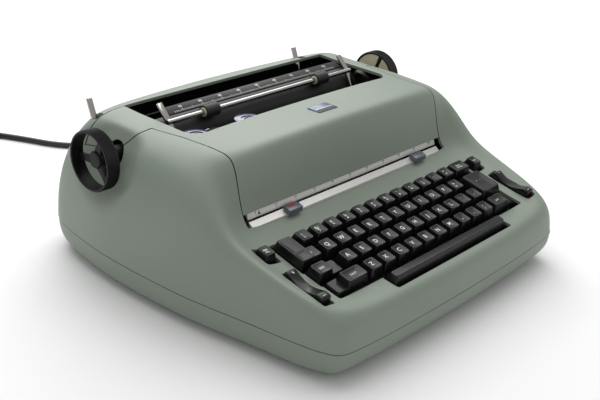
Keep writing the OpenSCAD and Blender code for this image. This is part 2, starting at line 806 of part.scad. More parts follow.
module key_row_lower() {
    key_row(3);
}

module margin_release_key() {
    color([0.07, 0.07, 0.07]) cap(-156, -86, 14.5, 17, 10.5, 12);
    key_arm(-156, -86);
}

module tab_key() {
    color([0.07, 0.07, 0.07]) {
        cap(-132.3, -97, 20.4, 36, 15.4, 31.6);
        cap(-128, -106.4, 29, 17, 24, 12.6);
    }
    key_arm(-134, -104);
}

module lock_key() {
    color([0.07, 0.07, 0.07]) {
        cap(-131, -125.1, 20, 17.2, 15.6, 12.8);
        cap(-124, -125.1, 33, 16.4, 30, 14.8, 6);
    }
    key_arm(-129, -125.1);
}

module shift_key_left() {
    color([0.07, 0.07, 0.07]) {
        cap(-112.5, -144.1, 28, cap_base, 23.6, cap_top);
        cap(-118.8, -144.1, 39.4, 16.6, 37, 15, 6);
    }
    key_arm(-121, -144.1);
}

module shift_key_right() {
    color([0.07, 0.07, 0.07]) {
        cap(106.7, -144.1, 25, cap_base, 20.6, cap_top);
        on_keys(0, -144.1) translate([0, 7.6, 0]) rotate([90, 0, 0]) linear_extrude(15.2) {
            polygon([[112, -12], [134.6, -12], [134.4, -10.6], [119, -1.2], [112, -1.2]]);
        }
    }
    key_arm(113, -144.1);
}

module return_key() {
    color([0.07, 0.07, 0.07]) cap(119.2, -115.7, 31, 36, 27, 28.5);
    key_arm(118, -118);
}

module backspace_key() {
    color([0.07, 0.07, 0.07]) cap(121.5, -87, 26, cap_base, 21, cap_top);
    key_arm(122.5, -87);
}

module index_key() {
    color([0.07, 0.07, 0.07]) cap(148, -88, 14, 17, 10, 12);
    key_arm(148, -88);
}

space_y = -162.5;
space_arms = [-116, 105];

module space_bar() {
    color([0.07, 0.07, 0.07]) cap(2.5, space_y, 173, 15.6, 167, 7.6, 2.2);
    color([0.6, 0.6, 0.6]) {
        for (x = [-60, 60]) {
            translate([x - 4, space_y - 1, 42]) cube([8, 2, key_z(space_y) - 50]);
        }
        translate([space_arms[0] - arm_t / 2, space_y - 2, 40]) {
            cube([space_arms[1] - space_arms[0] + arm_t, 4, 5]);
        }
    }
    for (x = space_arms) {
        color([0.6, 0.6, 0.6]) difference() {
            union() {
                plate_x(x - arm_t / 2, x + arm_t / 2,
                    [[space_y - 2, 39], [fulcrum_y, fulcrum_z - 3], [fulcrum_y, fulcrum_z + 3],
                     [space_y - 2, 46]]);
                rod_x(x - arm_t / 2, x + arm_t / 2, fulcrum_y, fulcrum_z, 4.2);
            }
            rod_x(x - arm_t, x + arm_t, fulcrum_y, fulcrum_z, fulcrum_r + run);
        }
    }
}

// Rocking bars on both sides of the keys: both ends stand up and the middle is hollowed
rocker_y = -133;
rocker_z = deck_z(-133) - 9;
rocker_sag = 4.6;

module rocking_bar(x, w) {
    color([0.07, 0.07, 0.07]) difference() {
        union() {
            on_keys(x, rocker_y) rotate([90, 0, 90]) translate([0, 0, -w / 2]) linear_extrude(w) {
                polygon(concat([[-22, -13], [22, -13], [21, -2]],
                    [for (k = [0:12]) let (t = k / 12) [18 - 33 * t,
                        -2 - rocker_sag * sin(180 * t) + 2 * t]],
                    [[-21, 0]]));
            }
            rod_x(x - w / 2, x + w / 2, rocker_y, rocker_z, 5);
        }
        rod_x(x - w, x + w, rocker_y, rocker_z, 2 + run);
    }
}

module tab_rocker() {
    rocking_bar(-156, 10.6);
}

module power_rocker() {
    rocking_bar(154, 10.6);
    color([0.8, 0.08, 0.05]) on_keys(154, rocker_y) translate([-5.2, -22.6, -13]) cube([10.4, 1, 5]);
}

// ---- Mains lead ---------------------------------------------------------------------------------
cord_x = 60;
cord_z = 22;
relief_end = 218;
coil_c = [-135, 460];
coil_r = [28.5, 48];
coil_layer = 6.7;

// Route of the lead from the strain relief over the desk to the coil
cord_route = [[60, 216, 22], [60, 232, 19.5], [59, 246, 13], [57, 260, 6.5], [53, 275, 3.6],
              [46, 292, 3.6], [36, 309, 3.6], [22, 326, 3.6], [6, 341, 3.6], [-10, 353, 3.6],
              [-24, 364, 3.6], [-36, 377, 3.6], [-46, 393, 3.6], [-54, 411, 3.6], [-64, 431, 3.6],
              [-74.5, 450, 3.6], [-84.4, 467.7, 3.6], [-93.7, 484.4, 3.6]];
// Route of the tail from the upper layer of the coil to the plug
tail_route = [[-155.75, 495.94, 10.3], [-164.4, 490.9, 10.4], [-173, 485.9, 10.4], [-181, 480, 10],
              [-188, 472.5, 8], [-193, 464, 5.2], [-196, 455, 4], [-197, 446, 3.8]];
plug_at = [-197, 446, 0];

function tangent(p, i) = unit(p[min(i + 1, len(p) - 1)] - p[max(i - 1, 0)]);

// A round tube of n sides along the points p
module tube(p, r, n) {
    m = len(p);
    pts = [for (i = [0:m - 1]) let (t = tangent(p, i), side = unit(cross(t, [0, 0, 1])),
                                    up = cross(side, t))
        for (k = [0:n - 1]) p[i] + r * (cos(360 * k / n) * side + sin(360 * k / n) * up)];
    polyhedron(points = pts, faces = concat(
        [[for (k = [0:n - 1]) k]],
        [for (i = [0:m - 2]) for (k = [0:n - 1]) let (a = i * n + k, b = i * n + (k + 1) % n)
            each [[a, a + n, b], [b, a + n, b + n]]],
        [[for (k = [n - 1:-1:0]) (m - 1) * n + k]]));
}

module strain_relief() {
    color([0.08, 0.08, 0.08]) difference() {
        translate([cord_x, 0, cord_z]) rotate([-90, 0, 0]) rotate_extrude($fn = fine) {
            polygon([[0, 179], [8, 179], [8, 183], [5, 183], [5, 187.2], [7.5, 187.2],
                     [7.5, 190.5], [5.6, 190.5], [4.4, relief_end], [0, relief_end]]);
        }
        translate([cord_x, 200, cord_z]) rotate([-90, 0, 0]) cylinder(r = cord_d / 2, h = 30, $fn = fine);
    }
}

module power_cord() {
    color([0.06, 0.06, 0.06]) {
        tube(spline(cord_route, 2), cord_d / 2, 8);
        tube(spline(tail_route, 2), cord_d / 2, 8);
    }
}

module cord_coil() {
    half = cord_d / 2;
    top = 2 * coil_layer;
    color([0.06, 0.06, 0.06]) translate([coil_c[0], coil_c[1], 0.4]) rotate_extrude($fn = 96) {
        polygon([[coil_r[0] - 2, 0], [coil_r[1] + 2, 0], [coil_r[1] + half, 2],
                 [coil_r[1] + half, top - 2], [coil_r[1] + 2, top], [coil_r[0] - 2, top],
                 [coil_r[0] - half, top - 2], [coil_r[0] - half, 2]]);
    }
}

module power_plug() {
    color([0.06, 0.06, 0.06]) translate(plug_at) rotate([0, 0, 4]) {
        translate([-11, -44, 0.3]) cube([22, 32, 17]);
        translate([0, -12.5, 6]) rotate([-90, 0, 0]) cylinder(r = 5.5, h = 14, $fn = fine);
    }
    color([0.7, 0.6, 0.35]) translate(plug_at) rotate([0, 0, 4]) {
        for (x = [-6.4, 5]) translate([x, -60, 6]) cube([1.5, 17, 6.3]);
        translate([0, -43, 13.4]) rotate([90, 0, 0]) cylinder(r = 2.4, h = 19, $fn = fine);
    }
}

lower_case();
upper_case();
rubber_feet();
case_screws();
main_frame();
key_fulcrum_rod();
margin_rail();
cover_hinge_pins();
paper_table();
carrier_rails();
motor();
drive_belt();
strain_relief();
power_cord();
cord_coil();
power_plug();
top_cover();
cover_hinges();
cover_scale();
nameplate();
platen_rubber();
platen_shaft();
platen_knob_left();
platen_knob_right();
platen_ratchet();
feed_roll_front();
feed_roll_rear();
bail_arms();
bail_rod();
paper_scale();
bail_roller_left();
bail_roller_right();
copy_control_lever();
paper_release_lever();
carrier_frame();
ribbon_cartridge();
ribbon_spools();
rocker();
type_element();
element_lever();
print_shaft();
cycle_pulley();
motor_pulley();
margin_stop_left();
margin_stop_right();
key_row_numbers();
key_row_upper();
key_row_home();
key_row_lower();
margin_release_key();
tab_key();
lock_key();
shift_key_left();
shift_key_right();
return_key();
backspace_key();
index_key();
space_bar();
tab_rocker();
power_rocker();
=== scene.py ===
import math

import bmesh
import bpy
import numpy as np
from mathutils import Matrix, Vector
from mathutils.bvhtree import BVHTree


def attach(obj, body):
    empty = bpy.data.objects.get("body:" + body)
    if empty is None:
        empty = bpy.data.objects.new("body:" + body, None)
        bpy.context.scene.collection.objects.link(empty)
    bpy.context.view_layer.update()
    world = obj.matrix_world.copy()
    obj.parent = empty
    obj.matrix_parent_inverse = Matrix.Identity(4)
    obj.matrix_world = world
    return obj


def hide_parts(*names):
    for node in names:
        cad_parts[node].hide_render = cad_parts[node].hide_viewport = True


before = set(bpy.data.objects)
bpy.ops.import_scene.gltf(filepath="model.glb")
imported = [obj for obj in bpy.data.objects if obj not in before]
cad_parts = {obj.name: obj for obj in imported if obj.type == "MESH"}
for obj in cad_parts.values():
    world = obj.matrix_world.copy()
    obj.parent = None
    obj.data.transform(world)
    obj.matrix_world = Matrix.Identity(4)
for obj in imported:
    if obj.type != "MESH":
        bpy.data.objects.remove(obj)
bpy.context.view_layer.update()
scene = bpy.context.scene

# All modelling below is in millimetres, in the frame of the CAD: X to the operator's right,
# Y from the operator to the rear, Z up. piece() brings it to metres.
MM = 0.001

# ---- Camera --------------------------------------------------------------------------------------
RIGHT = Vector((0.67558, -0.73511, 0.05662)).normalized()
AHEAD = Vector((0.68369, 0.59587, -0.42131)).normalized()
camera = bpy.data.objects.new("camera", bpy.data.cameras.new("camera"))
camera.data.lens = 58.774
camera.data.sensor_width = 36
camera.data.clip_start = 0.01
camera.matrix_world = Matrix.Translation((-0.67461, -0.57078, 0.46264)) @ Matrix(
    (RIGHT, RIGHT.cross(AHEAD), -AHEAD)).transposed().to_4x4()
scene.collection.objects.link(camera)
scene.camera = camera


# ---- Materials -----------------------------------------------------------------------------------
def material(name, colour, rough, metal=0.0, grain=900.0, bump=0.05, mottle=0.05, patch=18.0,
             uneven=0.06, spec=0.5, coat=0.0, edge=0.0, stretch=(1, 1, 1)):
    """A moulded, painted or metal finish: fine grain in the relief and the roughness, soft
    patches in the colour. edge rounds sharp corners in the shading by that many metres."""
    mat = bpy.data.materials.new(name)
    mat.use_nodes = True
    mat.diffuse_color = (*colour, 1)
    tree = mat.node_tree
    shader = tree.nodes["Principled BSDF"]
    shader.inputs["Metallic"].default_value = metal
    shader.inputs["Specular IOR Level"].default_value = spec
    shader.inputs["Coat Weight"].default_value = coat
    shader.inputs["Coat Roughness"].default_value = 0.12

    def node(kind, **values):
        made = tree.nodes.new(kind)
        for key, value in values.items():
            made.inputs[key].default_value = value
        return made

    def wire(a, out, b, into):
        tree.links.new(a.outputs[out], b.inputs[into])

    place = tree.nodes.new("ShaderNodeTexCoord")
    stretched = node("ShaderNodeMapping", Scale=stretch)
    wire(place, "Object", stretched, "Vector")
    fine = node("ShaderNodeTexNoise", Scale=grain, Detail=3.0, Roughness=0.6)
    broad = node("ShaderNodeTexNoise", Scale=patch, Detail=4.0, Roughness=0.55)
    wire(stretched, "Vector", fine, "Vector")
    wire(stretched, "Vector", broad, "Vector")
    tint = node("ShaderNodeMapRange")
    tint.inputs["From Min"].default_value = 0.3
    tint.inputs["From Max"].default_value = 0.7
    mix = tree.nodes.new("ShaderNodeMix")
    mix.data_type = "RGBA"
    mix.inputs["A"].default_value = (*[c * (1 - mottle) for c in colour], 1)
    mix.inputs["B"].default_value = (*[min(1, c * (1 + mottle)) for c in colour], 1)
    wire(broad, "Fac", tint, "Value")
    wire(tint, "Result", mix, "Factor")
    wire(mix, "Result", shader, "Base Color")
    gloss = node("ShaderNodeMapRange")
    gloss.inputs["From Min"].default_value = 0.3
    gloss.inputs["From Max"].default_value = 0.7
    gloss.inputs["To Min"].default_value = max(0.02, rough - uneven)
    gloss.inputs["To Max"].default_value = min(1, rough + uneven)
    wire(fine, "Fac", gloss, "Value")
    wire(gloss, "Result", shader, "Roughness")
    relief = node("ShaderNodeBump", Strength=bump, Distance=0.0004)
    wire(fine, "Fac", relief, "Height")
    if edge:
        bevel = tree.nodes.new("ShaderNodeBevel")
        bevel.samples = 4
        bevel.inputs["Radius"].default_value = edge
        wire(bevel, "Normal", relief, "Normal")
    wire(relief, "Normal", shader, "Normal")
    return mat


PAINT = material("case_paint", (0.212, 0.252, 0.205), 0.46, grain=1500, bump=0.10, mottle=0.035,
                 patch=9, uneven=0.05, spec=0.42, edge=0.0007)
# Near-black for the inner side of the case shell: painted shade inside the case, not its own
# colour.
INNER_SHADE = material("case_inner_shade", (0.018, 0.020, 0.018), 0.7, grain=900, bump=0.1, spec=0.2)
KEY = material("key_black", (0.0065, 0.0065, 0.007), 0.26, grain=1100, bump=0.03, mottle=0.2,
               patch=60, uneven=0.06, spec=0.3, coat=0.05)
RUBBER = material("rubber_black", (0.010, 0.010, 0.011), 0.58, grain=1300, bump=0.14, mottle=0.2)
PLASTIC = material("plastic_black", (0.006, 0.006, 0.006), 0.42, grain=1200, bump=0.08, mottle=0.2,
                   patch=40, spec=0.2)
CHROME = material("chrome", (0.44, 0.42, 0.40), 0.16, metal=1, grain=400, bump=0.02, mottle=0.08,
                  patch=70, uneven=0.05)
STEEL = material("steel", (0.46, 0.45, 0.43), 0.36, metal=1, grain=600, bump=0.05, mottle=0.12,
                 stretch=(1, 6, 6))
FRAME = material("frame_steel", (0.055, 0.056, 0.057), 0.5, metal=0.6, grain=700, bump=0.08,
                 mottle=0.25)
SILVER = material("trim_silver", (0.72, 0.705, 0.68), 0.42, metal=0.25, grain=900, bump=0.04,
                  mottle=0.05, stretch=(0.15, 4, 4))
STOP = material("stop_grey", (0.15, 0.165, 0.19), 0.34, metal=0.5, grain=900, bump=0.05, mottle=0.1)
BLUE = material("cartridge_blue", (0.018, 0.016, 0.088), 0.22, grain=800, bump=0.03, mottle=0.15,
                coat=0.3)
MOTOR = material("motor_dark", (0.020, 0.020, 0.022), 0.55, grain=700, bump=0.12, mottle=0.2)
CORD = material("cord_black", (0.012, 0.012, 0.012), 0.5, grain=1500, bump=0.1, mottle=0.2)
WHITE = material("legend_white", (0.78, 0.78, 0.76), 0.5, mottle=0.05, bump=0.02)
INK = material("scale_ink", (0.02, 0.02, 0.02), 0.6, mottle=0.1, bump=0.02)
CREAM = material("cream_plastic", (0.60, 0.55, 0.40), 0.4, mottle=0.12, patch=120, bump=0.05)
RED = material("red_plastic", (0.55, 0.015, 0.010), 0.35, mottle=0.1, bump=0.05)
PLATE = material("plate_blue", (0.020, 0.075, 0.17), 0.25, grain=900, bump=0.02, mottle=0.1)
BRASS = material("brass", (0.62, 0.45, 0.20), 0.3, metal=1, grain=700, bump=0.04, mottle=0.1)


# ---- Shapes: each is an array of points and a list of faces --------------------------------------
def join(*shapes):
    """Several shapes as one."""
    points, faces, base = [], [], 0
    for v, f in shapes:
        points.append(np.asarray(v, float))
        faces += [[i + base for i in face] for face in f]
        base += len(v)
    return np.vstack(points), faces


def loft(rings, ends=(True, True), closed=True):
    """Skin over rings of points that all have the same number of points."""
    rings = [np.asarray(r, float) for r in rings]
    n = len(rings[0])
    faces = []
    for k in range(len(rings) - 1):
        for i in range(n if closed else n - 1):
            j = (i + 1) % n
            faces.append([k * n + i, k * n + j, (k + 1) * n + j, (k + 1) * n + i])
    if ends[0]:
        faces.append(list(range(n))[::-1])
    if ends[1]:
        faces.append([(len(rings) - 1) * n + i for i in range(n)])
    return np.vstack(rings), faces


def lathe(profile, centre, axis="x", n=64, rib_depth=0.0, ribbed=(), loop=False):
    """Turns a profile of (along, radius) points round an axis. Every other point of a ribbed
    row sits deeper by rib_depth. A looped profile closes on itself."""
    rings = []
    for k, (along, radius) in enumerate(profile):
        angle = np.arange(n) * 2 * math.pi / n
        deep = np.where(np.arange(n) % 2 == 1, rib_depth, 0) if k in ribbed else 0
        r = radius - deep
        a, b = r * np.cos(angle), r * np.sin(angle)
        full = np.full(n, float(along))
        ring = {"x": (full, a, b), "y": (b, full, a), "z": (a, b, full)}[axis]
        rings.append(np.stack(ring, 1) + np.array(centre, float))
    if loop:
        rings.append(rings[0])
    return loft(rings, ends=(not loop, not loop))


def tube(x, half, bore, radius, centre, n):
    """A short tube along X, centred on x."""
    return lathe([(x - half, bore), (x - half, radius), (x + half, radius), (x + half, bore)],
                 centre, "x", n, loop=True)


def prism(outline, x0, x1):
    """A plate with an outline in the YZ plane, from x0 to x1."""
    ring = np.array(outline, float)
    rings = [np.column_stack([np.full(len(ring), x), ring]) for x in (x0, x1)]
    return loft(rings)


def upright(outline, z0, z1):
    """A plate with an outline in the XY plane, from z0 to z1."""
    ring = np.array(outline, float)
    return loft([np.column_stack([ring, np.full(len(ring), z)]) for z in (z0, z1)])


def rounded(x0, x1, y0, y1, r, steps=5):
    """The outline of a rectangle with rounded corners."""
    out = []
    for cx, cy, start in ((x1 - r, y1 - r, 0), (x0 + r, y1 - r, 90), (x0 + r, y0 + r, 180),
                          (x1 - r, y0 + r, 270)):
        for k in range(steps + 1):
            a = math.radians(start + 90 * k / steps)
            out.append((cx + r * math.cos(a), cy + r * math.sin(a)))
    return out


def block(low, high, r=0.5):
    """A box with rounded upright edges."""
    return upright(rounded(low[0], high[0], low[1], high[1], r, 3), low[2], high[2])


def moved(shape, matrix):
    """The shape with a 4 by 4 matrix applied."""
    points = np.asarray(shape[0], float)
    m = np.array(matrix)
    return points @ m[:3, :3].T + m[:3, 3], shape[1]


def build(shape):
    """A welded bmesh of the shape, with its faces turned outward."""
    mesh = bmesh.new()
    made = [mesh.verts.new(p) for p in np.asarray(shape[0], float)]
    for face in shape[1]:
        try:
            mesh.faces.new([made[i] for i in face])
        except ValueError:
            continue
    bmesh.ops.remove_doubles(mesh, verts=mesh.verts, dist=1e-5)
    bmesh.ops.recalc_face_normals(mesh, faces=mesh.faces)
    return mesh


def bevelled(shape, width, segments=2, angle=30):
    """The shape with its sharp edges rounded."""
    mesh = build(shape)
    sharp = [e for e in mesh.edges if e.is_manifold and e.calc_face_angle() > math.radians(angle)]
    bmesh.ops.bevel(mesh, geom=sharp, offset=width, segments=segments, profile=0.5,
                    affect="EDGES", clamp_overlap=True)
    mesh.verts.index_update()
    out = np.array([v.co[:] for v in mesh.verts]), [[v.index for v in f.verts] for f in mesh.faces]
    mesh.free()
    return out


def mesh_object(name, shape):
    """The shape as a mesh object in the scene, still in millimetres."""
    data = bpy.data.meshes.new(name)
    mesh = build(shape)
    mesh.to_mesh(data)
    mesh.free()
    obj = bpy.data.objects.new(name, data)
    scene.collection.objects.link(obj)
    return obj


def baked(obj):
    """Applies the object's modifiers to its mesh."""
    bpy.context.view_layer.update()
    data = bpy.data.meshes.new_from_object(
        obj.evaluated_get(bpy.context.evaluated_depsgraph_get()))
    obj.modifiers.clear()
    obj.data = data


def combine(obj, tool, operation):
    """A boolean of two mesh objects, which uses up the tool."""
    mod = obj.modifiers.new("carve", "BOOLEAN")
    mod.object = tool
    mod.operation = operation
    mod.solver = "MANIFOLD"
    baked(obj)
    bpy.data.objects.remove(tool)


def carve(obj, shapes, operation="DIFFERENCE"):
    """Cuts the shapes out of the object, one after another."""
    for shape in shapes:
        combine(obj, mesh_object("tool", shape), operation)


def settle(obj, mat, body, replaced=(), sharp=32):
    """Brings a finished mesh to metres, shades it, and hangs it on its body."""
    obj.data.transform(Matrix.Scale(MM, 4))
    obj.data.materials.clear()
    obj.data.materials.append(mat)
    for poly in obj.data.polygons:
        poly.use_smooth = True
    obj.data.set_sharp_from_angle(angle=math.radians(sharp))
    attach(obj, body)
    if replaced:
        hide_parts(*replaced)
    return obj


def piece(name, shape, mat, body, replaced=(), sharp=32):
    """A shape made into a finished piece."""
    return settle(mesh_object(name, shape), mat, body, replaced, sharp)


# ---- Curves and surfaces of the case -------------------------------------------------------------
def spline(points, per):
    """Uniform cubic B-spline along the first axis, from the first point to the last."""
    p = np.asarray(points, float)
    q = np.concatenate([[2 * p[0] - p[1]], p, [2 * p[-1] - p[-2]]])
    out = []
    for k in range((len(p) - 1) * per + 1):
        i = min(k // per, len(q) - 4)
        t = k / per - i
        w = np.array([(1 - t) ** 3, 3 * t ** 3 - 6 * t ** 2 + 4,
                      -3 * t ** 3 + 3 * t ** 2 + 3 * t + 1, t ** 3]) / 6
        out.append(np.tensordot(w, q[i:i + 4], 1))
    return np.array(out)


def ease(t):
    """A smooth step from 0 to 1."""
    t = np.clip(t, 0, 1)
    return t * t * (3 - 2 * t)


# ---- Mains lead ----------------------------------------------------------------------------------
CORD_D = 6.5
# Where the lead leaves the rear wall, in X and Z, and the hole there
CORD_EXIT = (60, 0, 22)
CORD_HOLE = 5.2
CORD_ROUTE = [(60, 216, 22), (60, 232, 19.5), (59, 246, 13), (57, 260, 6.5), (53, 275, 3.6),
              (46, 292, 3.6), (36, 309, 3.6), (22, 326, 3.6), (6, 341, 3.6), (-10, 353, 3.6),
              (-24, 364, 3.6), (-36, 377, 3.6), (-46, 393, 3.6), (-54, 411, 3.6), (-64, 431, 3.6),
              (-74.5, 450, 3.6), (-84.4, 467.7, 3.6), (-93.7, 484.4, 3.6)]
TAIL_ROUTE = [(-155.75, 495.94, 10.3), (-164.4, 490.9, 10.4), (-173, 485.9, 10.4), (-181, 480, 10),
              (-188, 472.5, 8), (-193, 464, 5.2), (-196, 455, 4), (-197, 446, 3.8)]
COIL_CENTRE = (-135, 460)
COIL_RADII = (48, 41.5, 35, 28.5, 35, 41.5)
# Angles at which the coil steps to its next radius, and where it climbs to its upper layer
COIL_STEPS = (320, 680, 1040, 1690, 2050)
COIL_CLIMB = 1330
COIL_LAYERS = (3.6, 10.3)


def coil():
    """The rest of the lead, wound in two layers on the floor."""
    out = []
    for angle in np.arange(30 + 12, 2280 - 6, 12.0):
        r = COIL_RADII[0]
        for k, start in enumerate(COIL_STEPS):
            r += (COIL_RADII[k + 1] - COIL_RADII[k]) * ease((angle - start) / 80)
        z = COIL_LAYERS[0] + (COIL_LAYERS[1] - COIL_LAYERS[0]) * ease((angle - COIL_CLIMB) / 80)
        a = math.radians(angle)
        out.append((COIL_CENTRE[0] + r * math.cos(a), COIL_CENTRE[1] + r * math.sin(a), z))
    return out


cord_line = np.vstack([spline(CORD_ROUTE, 4), coil(), spline(TAIL_ROUTE, 4)])
cord_curve = bpy.data.curves.new("mains_lead", "CURVE")
cord_curve.dimensions = "3D"
cord_curve.bevel_depth = CORD_D / 2 * MM
cord_curve.bevel_resolution = 5
run_of_cord = cord_curve.splines.new("POLY")
run_of_cord.points.add(len(cord_line) - 1)
for spot, at in zip(run_of_cord.points, cord_line):
    spot.co = (*(at * MM), 1)
cord_curve.materials.append(CORD)
lead = bpy.data.objects.new("mains_lead", cord_curve)
scene.collection.objects.link(lead)
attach(lead, "base")
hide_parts("power_cord", "cord_coil")


def strain_relief():
    """Flange, then a tapered sleeve of ribs that thin out towards its end."""
    start, length = 190.5, 27.5
    profile = [(180, 5), (187.6, 5), (187.6, 7.3), (188, 7.5), (190.1, 7.5), (start, 7.2)]
    for k in range(9):
        y = start + 3 * k
        r = 5.6 - 1.2 * (y - start) / length
        profile += [(y, r), (y + 1.9, r - 0.08), (y + 2.0, r - 0.75), (y + 2.9, r - 0.8)]
    profile += [(217.5, 4.4), (218, 4.1), (218, 3.3)]
    return lathe(profile, CORD_EXIT, "y", 40)


sleeve = piece("strain_relief_sleeve", strain_relief(), RUBBER, "base", ["strain_relief"])


def plug():
    """The plug's moulded body, and its two blades with the earth pin."""
    turn = Matrix.Translation((-197, 446, 0)) @ Matrix.Rotation(math.radians(4), 4, "Z")
    body = bevelled(block((-11, -44, 0.3), (11, -12, 17.3), 3.2), 1.6, 3)
    neck = lathe([(-13, 5.4), (-6, 5.5), (-5.6, 4.7), (-4, 4.6), (-3.6, 5), (-1, 4.6), (1.4, 3.8),
                  (1.5, 3.2)], (0, 0, 6), "y", 32)
    ribs = [bevelled(block((-11, -38 + 5 * k, 4), (11, -36 + 5 * k, 13.5), 0.3), 0.3)
            for k in range(4)]
    black = moved(join(body, neck, *ribs), turn)
    blades = [bevelled(block((x, -60, 6), (x + 1.5, -43.5, 12.3), 0.3), 0.3) for x in (-6.4, 5)]
    pin = lathe([(-62, 1.2), (-61, 2.1), (-59, 2.4), (-43.5, 2.4)], (0, 0, 13.4), "y", 24)
    return black, moved(join(*blades, pin), turn)


plug_black, plug_brass = plug()
plug_body = piece("plug_body", plug_black, PLASTIC, "base", ["power_plug"])
plug_pins = piece("plug_pins", plug_brass, BRASS, "base", [])


def tie():
    """A band round the whole bundle of turns, on the side of the coil nearest the machine."""
    outline = rounded(24.4, 52.0, 0.1, 14.2, 3.6, 6)
    inner = rounded(25.2, 51.2, 0.2, 13.9, 3.2, 6)
    rings = []
    for across, ring in ((-3, inner), (-3, outline), (3, outline), (3, inner)):
        rings.append([(r, across, z) for r, z in ring])
    shape = loft(rings + [rings[0]], ends=(False, False))
    turn = Matrix.Translation((*COIL_CENTRE, 0)) @ Matrix.Rotation(math.radians(-60), 4, "Z")
    return moved(shape, turn)


cord_tie = piece("cord_tie", tie(), PLASTIC, "base", [])

# ---- Case surface --------------------------------------------------------------------------------
SEAM = 32
SHELL = 3
REVEAL = 0.9
PLATEN_Y, PLATEN_Z = 86, 121.5
# One half of the control net of the case's outer surface, the same as the CAD's
CASE_NET = [
    [[168, -172], [166, -175], [162, -178.5], [156, -180.5], [145, -182], [120, -184], [80, -185.5],
     [0, -187]],
    [[173, -160, 32], [172.5, -164, 40], [170.5, -169, 45], [165, -175.5, 47], [150, -180, 47],
     [120, -183, 47], [80, -184.5, 47], [0, -186, 47]],
    [[175, -150, 32], [174.5, -153, 44], [172.5, -159, 56], [166, -167.5, 62], [150, -175, 62.5],
     [120, -178, 62], [80, -180, 61.5], [0, -181.5, 61]],
    [[178, -136, 32], [177.5, -137, 48], [176.5, -139, 63], [172.5, -144, 71.5], [164, -150, 68.5],
     [150, -158, 61.3], [95, -164, 59.9], [0, -166, 59.5]],
    [[183, -100, 32], [182.5, -100, 55], [181, -101, 75], [176.5, -104, 83], [168, -107, 78],
     [154, -110, 71.9], [95, -112, 71.5], [0, -112, 71.5]],
    [[188, -72, 32], [187.5, -72, 60], [185, -73, 84], [178, -77, 91], [169, -79, 86],
     [155, -80, 79], [95, -80, 78.6], [0, -80, 78.6]],
    [[191, -56, 32], [190.5, -56, 66], [187, -57, 95], [177, -60, 101], [167, -58, 94],
     [153, -55, 83.8], [95, -52, 82], [0, -52, 82]],
    [[193, -42, 32], [193, -42, 72], [188, -43, 108], [174, -47, 116], [163, -44, 107],
     [150, -43, 96], [95, -44, 93], [0, -45, 93]],
    [[195, -28, 32], [195, -28, 80], [188, -28, 120], [170, -32, 132], [159, -34, 127],
     [146, -37, 127], [95, -39, 130], [0, -41, 131]],
    [[196.5, -12, 32], [196.5, -12, 86], [188, -12, 127], [168, -17, 140], [155, -24, 145],
     [143, -33, 148], [95, -34, 151.5], [0, -36, 153]],
    [[197.5, 4, 32], [197.5, 4, 88], [188, 4, 130], [168, 2, 142], [152, -4, 146.5],
     [140, -14, 148], [95, -22, 150.5], [0, -24, 151.5]],
    [[199, 30, 32], [199, 30, 90], [188.5, 30, 132], [168, 30, 143.5], [150, 28, 147],
     [132, 24, 148.5], [95, 20, 150], [0, 20, 151]],
    [[199.5, 50, 32], [199.5, 50, 90], [188.5, 50, 132], [168, 50, 143.5], [151, 50, 147],
     [132, 50, 148.5], [95, 50, 150], [0, 50, 150.5]],
    [[199.5, 70, 32], [199.5, 70, 90], [188.5, 70, 132], [168, 70, 143.5], [152, 70, 147],
     [132, 70, 148.5], [95, 70, 149.5], [0, 70, 150]],
    [[199, 88, 32], [199, 88, 90], [188.5, 88, 132], [169, 88, 143.5], [152, 88, 147],
     [132, 88, 148.5], [95, 88, 149], [0, 88, 149.5]],
    [[197, 108, 32], [197, 108, 90], [188, 106, 131], [170, 106, 143], [152, 106, 147],
     [132, 108, 148.5], [95, 108, 148.5], [0, 110, 149]],
    [[193, 138, 32], [193, 138, 88], [187, 133, 126], [174, 129, 142], [159, 131, 149],
     [135, 134, 150], [95, 138, 150], [0, 142, 150]],
    [[189, 158, 32], [189, 157, 70], [184, 152, 106], [173, 147, 124], [158, 148, 131],
     [135, 150, 133], [95, 154, 133], [0, 158, 133]],
    [[181, 175, 32], [181, 174, 55], [178, 170, 78], [168, 168, 88], [155, 169, 92],
     [135, 171, 93], [95, 174, 93], [0, 178, 93]],
    [[168, 184], [162, 185], [155, 185.7], [145, 186.2], [130, 186.6], [110, 187], [80, 187.3],
     [0, 187.5]],
]
PER = 8


def full_row(half):
    """A row of the net from side to side; a pair of numbers lies on the seam."""
    row = [(*p, SEAM) if len(p) == 2 else tuple(p) for p in half]
    return row + [(-x, y, z) for x, y, z in row[-2::-1]]


def dished(grid):
    """Presses a shallow recess into both sides, round the axis of the platen."""
    r = np.hypot(grid[..., 1] - PLATEN_Y, grid[..., 2] - PLATEN_Z)
    pull = 12 * (1 - ease((r - 20) / 27)) * ease((np.abs(grid[..., 0]) - 160) / 25)
    out = grid.copy()
    out[..., 0] -= np.sign(grid[..., 0]) * pull
    return out


net = np.array([full_row(half) for half in CASE_NET], float)
outer = dished(spline(spline(net, PER).transpose(1, 0, 2), PER).transpose(1, 0, 2))
NI, NJ = outer.shape[:2]


def unit(v):
    """Vectors scaled to length 1."""
    return v / np.maximum(np.linalg.norm(v, axis=-1, keepdims=True), 1e-9)


def inner_grid():
    """The inner side of the shell, with its rim kept level."""
    i = np.arange(NI)
    j = np.arange(NJ)
    across = outer[:, np.minimum(j + 1, NJ - 1)] - outer[:, np.maximum(j - 1, 0)]
    along = outer[np.minimum(i + 1, NI - 1)] - outer[np.maximum(i - 1, 0)]
    normal = unit(np.cross(across, along))
    flat = unit(normal * (1, 1, 0))
    rim = np.zeros((NI, NJ, 1), bool)
    rim[[0, -1]] = True
    rim[:, [0, -1]] = True
    return outer + SHELL * np.where(rim, flat, normal)


